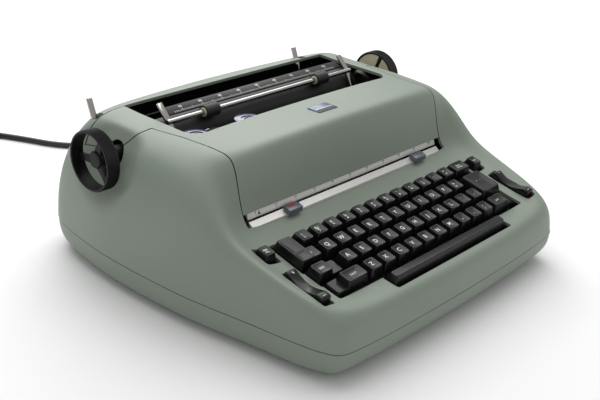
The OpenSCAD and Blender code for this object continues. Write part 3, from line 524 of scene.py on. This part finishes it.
inner = inner_grid()
grid_faces = [[i * NJ + j, i * NJ + j + 1, (i + 1) * NJ + j + 1, (i + 1) * NJ + j]
              for i in range(NI - 1) for j in range(NJ - 1)]
ring = ([(0, j) for j in range(NJ - 1)] + [(i, NJ - 1) for i in range(NI - 1)]
        + [(NI - 1, j) for j in range(NJ - 1, 0, -1)] + [(i, 0) for i in range(NI - 1, 0, -1)])
seam_line = np.array([outer[i, j] for i, j in ring])


def case_shell():
    """The whole upper shell, before the cover is parted from it."""
    n = NI * NJ
    at = [i * NJ + j for i, j in ring]
    rim = [[a, b, n + b, n + a] for a, b in zip(at, at[1:] + at[:1])]
    under = [[n + k for k in face[::-1]] for face in grid_faces]
    return np.vstack([outer.reshape(-1, 3), inner.reshape(-1, 3)]), grid_faces + under + rim


COVER_PLAN = [(0, -80), (143, -80), (143, 0), (145.5, 30), (151, 60), (151, 121), (0, 121)]
EAR_SIDE = [(88, 121.5), (60, 152), (60, 190), (121, 190), (121, 121.5)]


def grown(outline, g):
    """The outline moved outward by g, with its corners kept sharp."""
    p = np.array(outline, float)
    area = np.sum(p[:, 0] * np.roll(p[:, 1], -1) - np.roll(p[:, 0], -1) * p[:, 1])
    out = []
    for k in range(len(p)):
        a, b = unit(p[k] - p[k - 1]), unit(p[(k + 1) % len(p)] - p[k])
        na, nb = np.array([a[1], -a[0]]), np.array([b[1], -b[0]])
        shift = (na + nb) / (1 + np.dot(na, nb)) * np.sign(area)
        out.append(p[k] + g * shift)
    return out


def cover_zone(g):
    """The solid that parts the cover from the upper case: its plan, and the two ears."""
    plan = COVER_PLAN + [(-x, y) for x, y in COVER_PLAN[-2:0:-1]]
    shapes = [upright(grown(plan, g), 98 - g, 188)]
    for x0, x1 in ((-230, -150 + 0.02), (150 - 0.02, 230)):
        shapes.append(prism(grown(EAR_SIDE, g), x0, x1))
    return shapes


def platen_gap(y1, r, steps):
    """The paper opening, from its front edge back to y1."""
    return upright(rounded(-138, 138, 23, y1, r, steps), 100, 175)


def notch():
    """Room for the platen's shaft in both sides of the case."""
    return lathe([(-230, 12), (230, 12)], (0, PLATEN_Y, PLATEN_Z), "x", 64)


WELLS = [((-143.5, -117), (136.8, -75.5)), ((-142, -136), (136.8, -110)),
         ((-140.5, -154.5), (136.8, -120)), ((-86, -172), (90.5, -140)),
         ((-164.5, -96), (-147.5, -75.5)), ((139.8, -97.5), (156.2, -77.5)),
         ((-162.5, -157), (-149.5, -109)), ((147.5, -156), (160.5, -106))]
LEVER_SLOTS = [(-168.5, -159.5), (107.5, 116.5)]

# How far below the outer surface the paint reaches
PAINT_DEPTH = 2.85
paint_surface = BVHTree.FromPolygons(
    [Vector(p * MM) for p in outer.reshape(-1, 3)], grid_faces)


def darken_inside(obj):
    """The inner side of a case shell is near-black: painted shade inside the case."""
    obj.data.materials.clear()
    obj.data.materials.append(PAINT)
    obj.data.materials.append(INNER_SHADE)
    for poly in obj.data.polygons:
        near = paint_surface.find_nearest(poly.center)
        poly.material_index = int(near[3] is not None and near[3] > PAINT_DEPTH * MM)


def upper_case():
    """The fixed shell, with wells for the keys and slots for the levers."""
    obj = mesh_object("upper_case_shell", case_shell())
    carve(obj, cover_zone(REVEAL))
    carve(obj, [platen_gap(108, 10, 8)])
    carve(obj, [upright(rounded(a[0], b[0], a[1], b[1], 2.2), 45, 95) for a, b in WELLS])
    carve(obj, [upright(rounded(a, b, 122.5, 138, 2), 125, 160) for a, b in LEVER_SLOTS])
    carve(obj, [block((-143.9, -52.4, 70), (143.9, -22.4, 120), 0.2), notch(),
                lathe([(167, CORD_HOLE), (197, CORD_HOLE)], CORD_EXIT, "y", 40)])
    settle(obj, PAINT, "base", ["upper_case"])
    darken_inside(obj)


def top_cover():
    """The hinged cover, cut from the same shell so that the two line up."""
    zone = cover_zone(0)
    obj = mesh_object("top_cover_shell", case_shell())
    tool = mesh_object("zone", zone[0])
    carve(tool, zone[1:], "UNION")
    combine(obj, tool, "INTERSECT")
    carve(obj, [platen_gap(160, 16, 10), notch()])
    settle(obj, PAINT, "cover", ["top_cover"])
    darken_inside(obj)


def lower_case():
    """The tray below the seam, with a floor and ten vents."""
    levels = spline([(31.1, 0.4, 0.4), (27, 0.4, 0.5), (22, 0.6, 0.8), (14, 1.6, 3.5),
                     (8.5, 4, 9), (6, 8, 16)], 3)

    def around(inset, floor):
        return [np.column_stack([seam_line[:, 0] * (1 - (x + inset) / 199),
                                 seam_line[:, 1] * (1 - (y + inset) / 187),
                                 np.full(len(seam_line), max(z, floor))]) for z, x, y in levels]

    skin = around(0, 6)
    lining = around(SHELL, 9)
    solid = loft(skin + lining[::-1] + [skin[0]], ends=(False, False))
    n = len(seam_line)
    bottom = [(len(levels) - 1) * n + k for k in range(n)]
    floor = [len(levels) * n + k for k in range(n)]
    faces = [f for f in solid[1] if not (set(f) & set(bottom) and set(f) & set(floor))]
    obj = mesh_object("lower_case_shell", (solid[0], faces + [bottom, floor[::-1]]))
    carve(obj, [upright(rounded(-150 + 12 * k, -144 + 12 * k, 60, 130, 2.4), 0, 20)
                for k in range(10)])
    carve(obj, [lathe([(160, CORD_HOLE), (190, CORD_HOLE)], CORD_EXIT, "y", 40)])
    settle(obj, PAINT, "base", ["lower_case"])


upper_case()
top_cover()
lower_case()

# ---- Key caps ------------------------------------------------------------------------------------
PITCH = 19.05
FIRST_ROW_Y = -87
FIRST_ROW_Z = 86
SLOPE = math.radians(12.5)
CAP_H = 12


def key_z(y):
    """Height of the key plane."""
    return FIRST_ROW_Z + (y - FIRST_ROW_Y) * math.tan(SLOPE)


def on_keys(x, y):
    """The local frame of a key: its origin on the key plane, tilted with the keyboard."""
    return Matrix.Translation((x, y, key_z(y))) @ Matrix.Rotation(SLOPE, 4, "X")


def dish(u, v, w, d, depth):
    """How far the top of a cap lies below its corners."""
    return -depth * np.clip(1 - ((2 * u / w) ** 2 + (2 * v / d) ** 2) / 1.65, 0, 1)


def cap(w, d, wt, dt, drop=0.0, depth=1.15, corner=2.3):
    """A cap that tapers from w by d at its skirt to wt by dt, with a dished top."""
    def on_top(flat, sink):
        z = dish(flat[:, 0], flat[:, 1], wt, dt, depth) - drop - sink
        return np.column_stack([flat, z])

    foot = np.array(rounded(-w / 2, w / 2, -d / 2, d / 2, 1.3, 5))
    brim = np.array(rounded(-wt / 2, wt / 2, -dt / 2, dt / 2, corner, 5))
    top = dish(brim[:, 0], brim[:, 1], wt, dt, depth) - drop
    rings = []
    for t in (0, 0.03, 0.3, 0.6, 0.85):
        flat = foot + (brim - foot) * t
        swell = 0.25 * math.sin(math.pi * t)
        flat = flat * (1 + 2 * swell / max(w, d))
        z = -CAP_H + (CAP_H + top - 0.6) * t
        rings.append(np.column_stack([flat, z]))
    for inset, sink in ((0.0, 0.55), (0.12, 0.26), (0.35, 0.08), (0.75, 0.0)):
        scale = np.array([1 - 2 * inset / wt, 1 - 2 * inset / dt])
        rings.append(on_top(brim * scale, sink))
    for s in (0.78, 0.6, 0.4, 0.2):
        rings.append(on_top(brim * s, 0))
    return loft(rings)


def cap_at(x, y, *sizes, **more):
    """A cap in its place on the keyboard."""
    return moved(cap(*sizes, **more), on_keys(x, y))


glyphs = {}


def glyph(text):
    """A character's flat mesh, one unit high, centred in its width and about its middle."""
    if text not in glyphs:
        curve = bpy.data.curves.new("glyph", "FONT")
        curve.body = text
        curve.align_x = "CENTER"
        curve.resolution_u = 3
        curve.offset = 0.012
        obj = bpy.data.objects.new("glyph", curve)
        scene.collection.objects.link(obj)
        bpy.context.view_layer.update()
        mesh = bpy.data.meshes.new_from_object(
            obj.evaluated_get(bpy.context.evaluated_depsgraph_get()))
        points = np.array([v.co[:] for v in mesh.vertices]) / 0.7
        glyphs[text] = points - (0, 0.5, 0), [list(p.vertices) for p in mesh.polygons]
        bpy.data.objects.remove(obj)
        bpy.data.meshes.remove(mesh)
    return glyphs[text]


def legend(text, x, y, size, du=0.0, dv=0.0, sizes=(13, 13), drop=0.0, depth=1.15):
    """A character on the dished top of a cap, du and dv away from the middle of the cap."""
    points, faces = glyph(text)
    flat = points[:, :2] * size + (du, dv)
    z = dish(flat[:, 0], flat[:, 1], *sizes, depth) - drop + 0.045
    return moved((np.column_stack([flat, z]), faces), on_keys(x, y))


# Each row's name, the X of its first key, and its legends
ROWS = [
    ("numbers", -111.4, ["1!", "2@", "3#", "4$", "5%", "6¢", "7&", "8*", "9(", "0)", "-_", "=+"]),
    ("upper", -101.9, [*"QWERTYUIOP", "½¼"]),
    ("home", -97.1, [*"ASDFGHJKL", ";:", "'\""]),
    ("lower", -87.6, [*"ZXCVBNM", ",", ".", "/?"]),
]
FULCRUM_Y, FULCRUM_Z = 25, 40
ARM_HALF = 0.75


def fulcrum_eye(x):
    """An eye on the fulcrum rod."""
    return tube(x, ARM_HALF, 2.2, 4.2, (0, FULCRUM_Y, FULCRUM_Z), 24)


def key_arm(x, y):
    """The steel arm under a cap, back to its eye on the fulcrum rod."""
    z = key_z(y) - 26
    arm = prism([(y - 4, z - 3), (FULCRUM_Y, FULCRUM_Z - 3), (FULCRUM_Y, FULCRUM_Z + 3),
                 (y + 4, z + 3), (y + 4, z + 16), (y - 4, z + 15)], x - ARM_HALF, x + ARM_HALF)
    return join(arm, fulcrum_eye(x))


for r, (name, x0, marks) in enumerate(ROWS):
    y = FIRST_ROW_Y - r * PITCH
    body = f"key_row_{name}_body"
    caps, signs, arms = [], [], []
    for k, mark in enumerate(marks):
        x = x0 + k * PITCH
        caps.append(cap_at(x, y, 17.4, 17.4, 13, 13))
        arms.append(key_arm(x, y))
        if len(mark) == 1:
            signs.append(legend(mark, x, y, 4.3, -0.6, 0.6))
        else:
            signs.append(legend(mark[0], x, y, 3.3, -1.0, -2.2))
            signs.append(legend(mark[1], x, y, 3.3, -1.0, 2.4))
    piece(f"caps_{name}", join(*caps), KEY, body, [f"key_row_{name}"])
    piece(f"legends_{name}", join(*signs), WHITE, body, [], 180)
    piece(f"arms_{name}", join(*arms), STEEL, body, [])


def words(x, y, lines, size, sizes, drop=0.0, depth=1.15):
    """A short printed word on a key, one letter after another on each line."""
    signs = []
    for k, line in enumerate(lines):
        for n, letter in enumerate(line):
            if letter != " ":
                right = (n - (len(line) - 1) / 2) * size * 0.82
                down = (k - (len(lines) - 1) / 2) * size * 1.45
                signs.append(legend(letter, x, y, size, right, -down, sizes, drop, depth))
    return join(*signs)


def key(name, shapes, arm, signs):
    """One key on a body of its own: caps, arm and printed word."""
    body = f"{name}_body"
    piece(f"{name}_cap", join(*shapes), KEY, body, [name])
    piece(f"{name}_arm", key_arm(*arm), STEEL, body, [])
    piece(f"{name}_legend", signs, WHITE, body, [], 180)


LOW_ROW_Y = -144.1
key("margin_release_key", [cap_at(-156, -86, 14.5, 17, 10.5, 12)], (-156, -86),
    words(-156, -86, ["MAR", "REL"], 1.9, (10.5, 12)))
key("tab_key", [cap_at(-132.3, -97, 20.4, 36, 15.4, 31.6, depth=1.3),
                cap_at(-128, -106.4, 29, 17, 24, 12.6, drop=0.3, depth=1.0)], (-134, -104),
    words(-124.5, -106.4, ["TAB"], 2.0, (24, 12.6), drop=0.2, depth=1.0))
key("lock_key", [cap_at(-131, -125.1, 20, 17.2, 15.6, 12.8),
                 cap_at(-124, -125.1, 33, 16.4, 30, 14.8, drop=6, depth=0.2)], (-129, -125.1),
    words(-131, -125.1, ["LOCK"], 2.0, (15.6, 12.8)))
key("shift_key_left", [cap_at(-112.5, LOW_ROW_Y, 28, 17.4, 23.6, 13),
                       cap_at(-118.8, LOW_ROW_Y, 39.4, 16.6, 37, 15, drop=6, depth=0.2)],
    (-121, LOW_ROW_Y), words(-112.5, LOW_ROW_Y, ["SHIFT"], 2.0, (23.6, 13)))
# The right shift key's outer end slopes down to the deck
x_to_y = Matrix(((0, 0, 1, 0), (-1, 0, 0, 0), (0, 1, 0, 0), (0, 0, 0, 1)))
ramp = prism([(-12, 112), (-12, 134.6), (-10.6, 134.4), (-1.2, 119), (-1.2, 112)], -7.6, 7.6)
ramp = moved(bevelled(moved(ramp, x_to_y), 0.9), on_keys(0, LOW_ROW_Y))
key("shift_key_right", [cap_at(106.7, LOW_ROW_Y, 25, 17.4, 20.6, 13), ramp], (113, LOW_ROW_Y),
    words(105.5, LOW_ROW_Y, ["SHIFT"], 2.0, (20.6, 13)))
key("return_key", [cap_at(119.2, -115.7, 31, 36, 27, 28.5, depth=1.5, corner=3)], (118, -118),
    words(119.2, -112, ["RETURN"], 2.0, (27, 28.5), depth=1.5))
key("backspace_key", [cap_at(121.5, -87, 26, 17.4, 21, 13)], (122.5, -87),
    words(121.5, -87, ["BACK", "SPACE"], 2.0, (21, 13)))
key("index_key", [cap_at(148, -88, 14, 17, 10, 12)], (148, -88),
    words(148, -88, ["INDEX"], 1.5, (10, 12)))


SPACE_Y = -162.5


def space_bar():
    """The bar on two posts, a cross rail, and a long arm at each end."""
    bar = cap_at(2.5, SPACE_Y, 173, 15.6, 167, 7.6, drop=2.2, depth=0.25, corner=2)
    top = key_z(SPACE_Y) - 8
    steel = [bevelled(block((x - 4, SPACE_Y - 1, 42), (x + 4, SPACE_Y + 1, top)), 0.3)
             for x in (-60, 60)]
    steel.append(bevelled(block((-116.75, SPACE_Y - 2, 40), (105.75, SPACE_Y + 2, 45)), 0.5))
    for x in (-116, 105):
        steel.append(prism([(SPACE_Y - 2, 39), (FULCRUM_Y, FULCRUM_Z - 3),
                            (FULCRUM_Y, FULCRUM_Z + 3), (SPACE_Y - 2, 46)],
                           x - ARM_HALF, x + ARM_HALF))
        steel.append(fulcrum_eye(x))
    piece("space_bar_cap", bar, KEY, "space_bar_body", ["space_bar"])
    piece("space_bar_frame", join(*steel), STEEL, "space_bar_body", [])


space_bar()


# ---- Rocking bars --------------------------------------------------------------------------------
ROCKER_Y = -133
ROCKER_HALF = 5.3
ROCKER_X = {"tab_rocker": -156, "power_rocker": 154}


def rocking_bar(name, x):
    """A bar whose ends stand up and whose middle is hollowed, with a hub below."""
    outline = [(-22, -13), (22, -13), (21.6, -4), (21, -2.2), (20, -1.4)]
    for k in range(25):
        t = k / 24
        outline.append((18 - 33 * t, -1.6 - 4.6 * math.sin(math.pi * t) + 1.7 * t))
    outline += [(-17, 0.0), (-19.8, -0.1), (-21.1, -1.2)]
    bar = moved(bevelled(prism(outline, -ROCKER_HALF, ROCKER_HALF), 0.9, 3),
                on_keys(x, ROCKER_Y))
    hub = tube(x, ROCKER_HALF, 2.1, 5, (0, ROCKER_Y, key_z(ROCKER_Y) - 18), 40)
    piece(f"{name}_bar", join(bar, hub), KEY, f"{name}_body", [name])


def bar_mark(name, rocker, shape, mat, v, lift, sharp=32):
    """A mark on a rocking bar, v along it and lift above the key plane."""
    place = on_keys(ROCKER_X[rocker], ROCKER_Y) @ Matrix.Translation((0, v, lift))
    piece(f"{rocker}_{name}", moved(shape, place), mat, f"{rocker}_body", [], sharp)


for name, x in ROCKER_X.items():
    rocking_bar(name, x)


dot = lathe([(0.02, 0.01), (0.25, 0.9), (0.12, 1.15), (-0.3, 1.2), (-0.3, 0.01)], (0, 0, 0),
            "z", 24)
bar_mark("dot", "power_rocker", dot, CREAM, 18.6, -1.75)
flag = bevelled(block((-5.2, -22.6, -12.6), (5.2, -21.7, -8.2), 0.2), 0.2)
bar_mark("flag", "power_rocker", flag, RED, 0, 0)
dash = bevelled(block((-1.6, 0, 0), (1.6, 0.45, 0.08), 0.1), 0.03)
for name in ROCKER_X:
    bar_mark("dash", name, dash, WHITE, -18.2, 0)
sign = moved(glyph("E"), Matrix.Scale(3.2, 4))
bar_mark("sign", "tab_rocker", sign, WHITE, 17.4, -1.59, 180)

# ---- Platen and knobs ----------------------------------------------------------------------------
KNOB_FACE = 205
PLATEN_AXIS = (0, PLATEN_Y, PLATEN_Z)


def knob(side):
    """An open grip ring with fine flutes, three tapered spokes and a hub."""
    def along(d):
        return side * (KNOB_FACE - d)

    rim = [(along(0.6), 25.4), (along(0.0), 25.9), (along(0.0), 27.2), (along(0.5), 27.8),
           (along(1.2), 28), (along(12.1), 28), (along(12.8), 27.8), (along(13.3), 27.2),
           (along(13.3), 25.9), (along(12.8), 25.4)]
    ring = lathe(rim, PLATEN_AXIS, "x", 288, 0.42, (3, 4, 5, 6), loop=True)
    hub = lathe([(along(37), 4.6), (along(37), 8), (along(7.2), 8), (along(6.2), 7.4),
                 (along(6.0), 6.6), (along(6.0), 0.05)], PLATEN_AXIS, "x", 48)
    spokes = []
    for k in range(3):
        angle = math.radians(120 * k + 20)
        bar = loft([[(along(7.5), -s, r), (along(7.5), s, r), (along(12.5), s * 0.8, r),
                     (along(12.5), -s * 0.8, r)] for r, s in ((6.5, 4.4), (16, 3.2), (25.9, 3.9))])
        turned = Matrix.Translation(PLATEN_AXIS) @ Matrix.Rotation(angle, 4, "X")
        spokes.append(moved(bevelled(bar, 0.6), turned))
    return join(ring, hub, *spokes)


piece("knob_left", knob(-1), PLASTIC, "platen", ["platen_knob_left"], 28)
piece("knob_right", knob(1), PLASTIC, "platen", ["platen_knob_right"], 28)
web = [(192.6, 7.6), (192.6, 25.0), (192.9, 25.4), (194, 25.4), (194, 7.6)]
piece("knob_right_web", lathe(web, PLATEN_AXIS, "x", 72, loop=True), CREAM, "platen",
      [])
rubber = [(-141, 16), (-141, 19.4), (-140.4, 20), (140.4, 20), (141, 19.4), (141, 16)]
piece("platen_sleeve", lathe(rubber, PLATEN_AXIS, "x", 96, loop=True), RUBBER,
      "platen", ["platen_rubber"])

# ---- Paper bail ----------------------------------------------------------------------------------
BAIL_X = 126
BAIL_PIVOT = (0, 55, 115)
BAIL_ROD = (0, 70, 145)
BAIL_ARM = [(54, 112.2), (57.6, 113.6), (72.6, 142.6), (86, 157.4), (84.4, 159.2), (70.6, 145.6),
            (52.6, 116.6)]
arms = []
for s in (-1, 1):
    x = s * BAIL_X
    arms.append(bevelled(prism(BAIL_ARM, x - 3, x + 3), 0.55, 3))
    arms.append(lathe([(x - 3, 2.1), (x - 3, 3.9), (x - 2.7, 4.2), (x + 2.7, 4.2), (x + 3, 3.9),
                       (x + 3, 2.1)], BAIL_PIVOT, "x", 32, loop=True))
piece("bail_arm_pair", join(*arms), CHROME, "bail", ["bail_arms"])
piece("bail_bar", lathe([(-129, 0.1), (-129, 2.1), (-128.7, 2.4), (128.7, 2.4), (129, 2.1),
                         (129, 0.1)], BAIL_ROD, "x", 40), CHROME, "bail", ["bail_rod"])
for name, x in (("left", -76), ("right", 80)):
    tyre = [(x - 8.6, 3.6), (x - 8.6, 5.9), (x - 8.2, 6.3), (x + 8.2, 6.3), (x + 8.6, 5.9),
            (x + 8.6, 3.6)]
    bush = [(x - 9.5, 2.46), (x - 9.5, 4.1), (x - 9.2, 4.4), (x - 8.6, 4.5), (x + 8.6, 4.5),
            (x + 9.2, 4.4), (x + 9.5, 4.1), (x + 9.5, 2.46)]
    piece(f"bail_tyre_{name}", lathe(tyre, BAIL_ROD, "x", 48, loop=True), RUBBER,
          f"{name}_roller", [f"bail_roller_{name}"])
    piece(f"bail_bush_{name}", lathe(bush, BAIL_ROD, "x", 40, loop=True), CREAM,
          f"{name}_roller", [])

SCALE_TILT = math.atan2(151.6 - 148.2, 88.4 - 76.9)
SCALE_LINE = [(77.4, 146.8), (88.8, 150.2), (88.4, 151.6), (76.9, 148.2)]
piece("bail_scale", bevelled(prism(SCALE_LINE, -123, 123), 0.3), PLASTIC, "bail", ["paper_scale"])


def ruled(tilt, start, marks, tick):
    """Ticks and figures on a sloping strip. A tick is (x, across, width, height) and a figure
    is (text, x, across, size)."""
    slope = Matrix.Translation(start) @ Matrix.Rotation(tilt, 4, "X")
    shapes = []
    for x, v, w, h in tick:
        shapes.append(([(x - w / 2, v, 0.05), (x + w / 2, v, 0.05), (x + w / 2, v + h, 0.05),
                        (x - w / 2, v + h, 0.05)], [[0, 1, 2, 3]]))
    for text, x, v, size in marks:
        points, faces = glyph(text)
        shapes.append((points * size + (x, v, 0.05), faces))
    return moved(join(*shapes), slope)


SCALE_STEP = 2.54
ticks, figures = [], []
for k in range(-44, 45):
    x = k * SCALE_STEP
    long = k % 10 == 0
    ticks.append((x, 1.2, 0.42, 4.2 if long else 3.2 if k % 5 == 0 else 2.2))
    if long:
        for n, digit in enumerate(str(k + 50)):
            figures.append((digit, x + (n - 0.5) * 2.2, 8.2, 2.9))
piece("bail_scale_marks", ruled(SCALE_TILT, (0, 76.9, 148.2), figures, ticks), WHITE, "bail", [],
      180)

# ---- Front scale and margins ---------------------------------------------------------------------
FRONT_SCALE = [(-45, 91.6), (-42.6, 91.6), (-40.6, 97.6), (-43, 97.6)]
piece("front_scale", bevelled(prism(FRONT_SCALE, -137, 137), 0.25), SILVER, "cover",
      ["cover_scale"])
FRONT_START = (0, -45, 91.6)
front_tilt = math.atan2(6.0, 2.0)
ticks, figures = [], []
for k in range(0, 101):
    x = -127 + k * SCALE_STEP
    ticks.append((x, 0.5, 0.32, 2.2 if k % 10 == 0 else 1.5 if k % 5 == 0 else 0.9))
    if k % 10 == 0:
        text = str(k)
        for n, digit in enumerate(text):
            figures.append((digit, x + (n - (len(text) - 1) / 2) * 1.5, 4.3, 1.9))
marks = ruled(front_tilt, FRONT_START, figures, ticks)
arrow = moved(([(-124.6, 1.6, 0.05), (-121.4, 1.6, 0.05), (-123, 5, 0.05)], [[0, 1, 2]]),
              Matrix.Translation(FRONT_START) @ Matrix.Rotation(front_tilt, 4, "X"))
piece("front_scale_marks", join(marks, arrow), INK, "cover", [], 180)

rail = [(-52.1, 82.5), (-46.2, 82.5), (-46.2, 90.3), (-50.2, 87.4), (-52.1, 87)]
legs = [block((s * 146.5 - 10, -51, 78), (s * 146.5 + 10, -47, 82.6)) for s in (-1, 1)]
piece("margin_rail_strip", join(bevelled(prism(rail, -137.4, 137.4), 0.3), *legs), SILVER, "base",
      ["margin_rail"])

STOP_LINE = [(-56, 86.6), (-53, 88.3), (-50.6, 88.2), (-47.1, 90.6), (-47.1, 92.9), (-50.5, 93.3),
             (-56, 91.6)]
for name, x in (("left", -87.5), ("right", 98.5)):
    piece(f"margin_stop_{name}_slide", bevelled(prism(STOP_LINE, x - 8.5, x + 8.5), 0.6, 3), STOP,
          f"{name}_stop", [f"margin_stop_{name}"])
pointer = ([(-92.5, -51, 93.2), (-84.5, -51, 93.2), (-88.5, -47.2, 92.8),
            (-92.5, -51, 94), (-84.5, -51, 94), (-88.5, -47.2, 94.2)],
           [[0, 1, 2], [3, 5, 4], [0, 3, 4, 1], [1, 4, 5, 2], [2, 5, 3, 0]])
piece("margin_pointer", pointer, RED, "left_stop", [])

# ---- Levers --------------------------------------------------------------------------------------
def lever(name, body, x):
    """A flat arm on its pivot, with a round post that leans back through the case."""
    low = bevelled(prism([(121, 110), (127, 110), (134, 141), (129, 141)], x - 1.5, x + 1.5), 0.4)
    eye = tube(x, 2, 2.1, 4.5, (0, 124, 110), 32)
    post = lathe([(0, 0.1), (0, 2.6), (0.4, 3), (18.2, 3), (19.2, 2.7), (19.8, 1.9), (20, 0.8),
                  (20, 0.1)], (0, 0, 0), "z", 40)
    lean = Matrix.Translation((x, 131.5, 139)) @ Matrix.Rotation(math.radians(-23), 4, "X")
    piece(f"{name}_post", join(low, eye, moved(post, lean)), CHROME, body, [name])


lever("copy_control_lever", "copy_lever", -164)
lever("paper_release_lever", "release_lever", 112)

# ---- Carrier -------------------------------------------------------------------------------------
CARRIER_X = -88
DRUM_AT = (CARRIER_X - 33, CARRIER_X + 33)


def cartridge():
    """The ribbon cartridge: a flat base, two drums and a bridge in front of the type element."""
    base = block((CARRIER_X - 48, 25.5, 126), (CARRIER_X + 48, 53.5, 129), 5)
    drums = [lathe([(126, 14), (129, 14.5), (139.6, 14.5), (140.6, 14.2), (141, 13.4), (141, 8),
                    (140.2, 7.6), (140.2, 5), (128.5, 5)],
                   (x, 39, 0), "z", 64, loop=True) for x in DRUM_AT]
    obj = mesh_object("cartridge_shell", bevelled(base, 0.7))
    carve(obj, [block((CARRIER_X - 18, 29.5, 120), (CARRIER_X + 18, 60, 150), 1)]
          + [lathe([(120, 5), (150, 5)], (x, 39, 0), "z", 48) for x in DRUM_AT])
    settle(obj, BLUE, "carrier", ["ribbon_cartridge"])
    piece("cartridge_drums", join(*drums), BLUE, "carrier", [])
    bridge = bevelled(block((CARRIER_X - 16, 26, 129), (CARRIER_X + 16, 29, 136), 0.8), 0.5)
    piece("cartridge_bridge", bridge, BLUE, "carrier", [])


cartridge()

# ---- Badge, feet ---------------------------------------------------------------------------------
piece("badge_plate", bevelled(block((-13, -12, 150.4), (13, 4, 151.84), 0.6), 0.25), PLATE, "cover",
      ["nameplate"])
piece("badge_lower_band", block((-12.2, -11.3, 151.8), (12.2, -5.8, 151.88), 0.3), INK, "cover", [])
piece("badge_line", block((-12.2, -5.6, 151.8), (12.2, -5.1, 151.9), 0.1), CHROME, "cover", [])
feet = []
for x in (-140, 140):
    for y in (-135, 135):
        feet.append(lathe([(0, 0.1), (0, 9.4), (0.6, 10.4), (1.6, 11), (5, 11), (6, 10.6), (6, 4),
                           (9.5, 4), (9.5, 0.1)], (x, y, 0), "z", 48))
piece("foot_set", join(*feet), RUBBER, "base", ["rubber_feet"])

# ---- Finishes of the CAD nodes that stay ---------------------------------------------------------
SPECIAL = {"motor": MOTOR, "carrier_frame": FRAME, "rocker": FRAME, "main_frame": FRAME,
           "cover_hinges": FRAME, "cover_hinge_pins": FRAME, "paper_table": PLASTIC,
           "drive_belt": RUBBER, "ribbon_spools": PLASTIC, "element_lever": PLASTIC,
           "feed_roll_front": RUBBER, "feed_roll_rear": RUBBER, "type_element": CHROME}
for name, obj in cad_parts.items():
    if obj.hide_render:
        continue
    mat = SPECIAL.get(name, STEEL)
    if not obj.material_slots:
        obj.data.materials.append(mat)
    for slot in obj.material_slots:
        slot.material = mat


# ---- Floor and light -----------------------------------------------------------------------------
def floor():
    """A plain pale floor."""
    across = np.linspace(-6, 6, 3)
    points = [(x, y, 0.0) for y in across for x in across]
    faces = [[k + 3 * r, k + 1 + 3 * r, k + 4 + 3 * r, k + 3 + 3 * r] for r in range(2)
             for k in range(2)]
    data = bpy.data.meshes.new("floor")
    data.from_pydata(points, [], faces)
    obj = bpy.data.objects.new("floor", data)
    scene.collection.objects.link(obj)
    data.materials.append(material("floor_white", (0.90, 0.90, 0.90), 0.85, mottle=0.0, bump=0.0,
                                   spec=0.1))


def lamp(name, at, aim, size, power):
    """A rectangular soft light, in metres and watts."""
    light = bpy.data.lights.new(name, "AREA")
    light.shape = "RECTANGLE"
    light.size, light.size_y = size
    light.energy = power
    obj = bpy.data.objects.new(name, light)
    obj.location = at
    obj.rotation_euler = (Vector(aim) - Vector(at)).to_track_quat("-Z", "Y").to_euler()
    scene.collection.objects.link(obj)


floor()
lamp("overhead", (0.4, 0.6, 1.7), (0, 0, 0), (2.2, 2.0), 28)
lamp("rear_kicker", (0.9, 1.6, 1.1), (0, 0, 0.1), (1.6, 0.8), 14)
world = bpy.data.worlds.new("studio")
world.use_nodes = True
world.node_tree.nodes["Background"].inputs["Color"].default_value = (1, 1, 1, 1)
world.node_tree.nodes["Background"].inputs["Strength"].default_value = 0.55
scene.world = world
scene.view_settings.view_transform = "Standard"
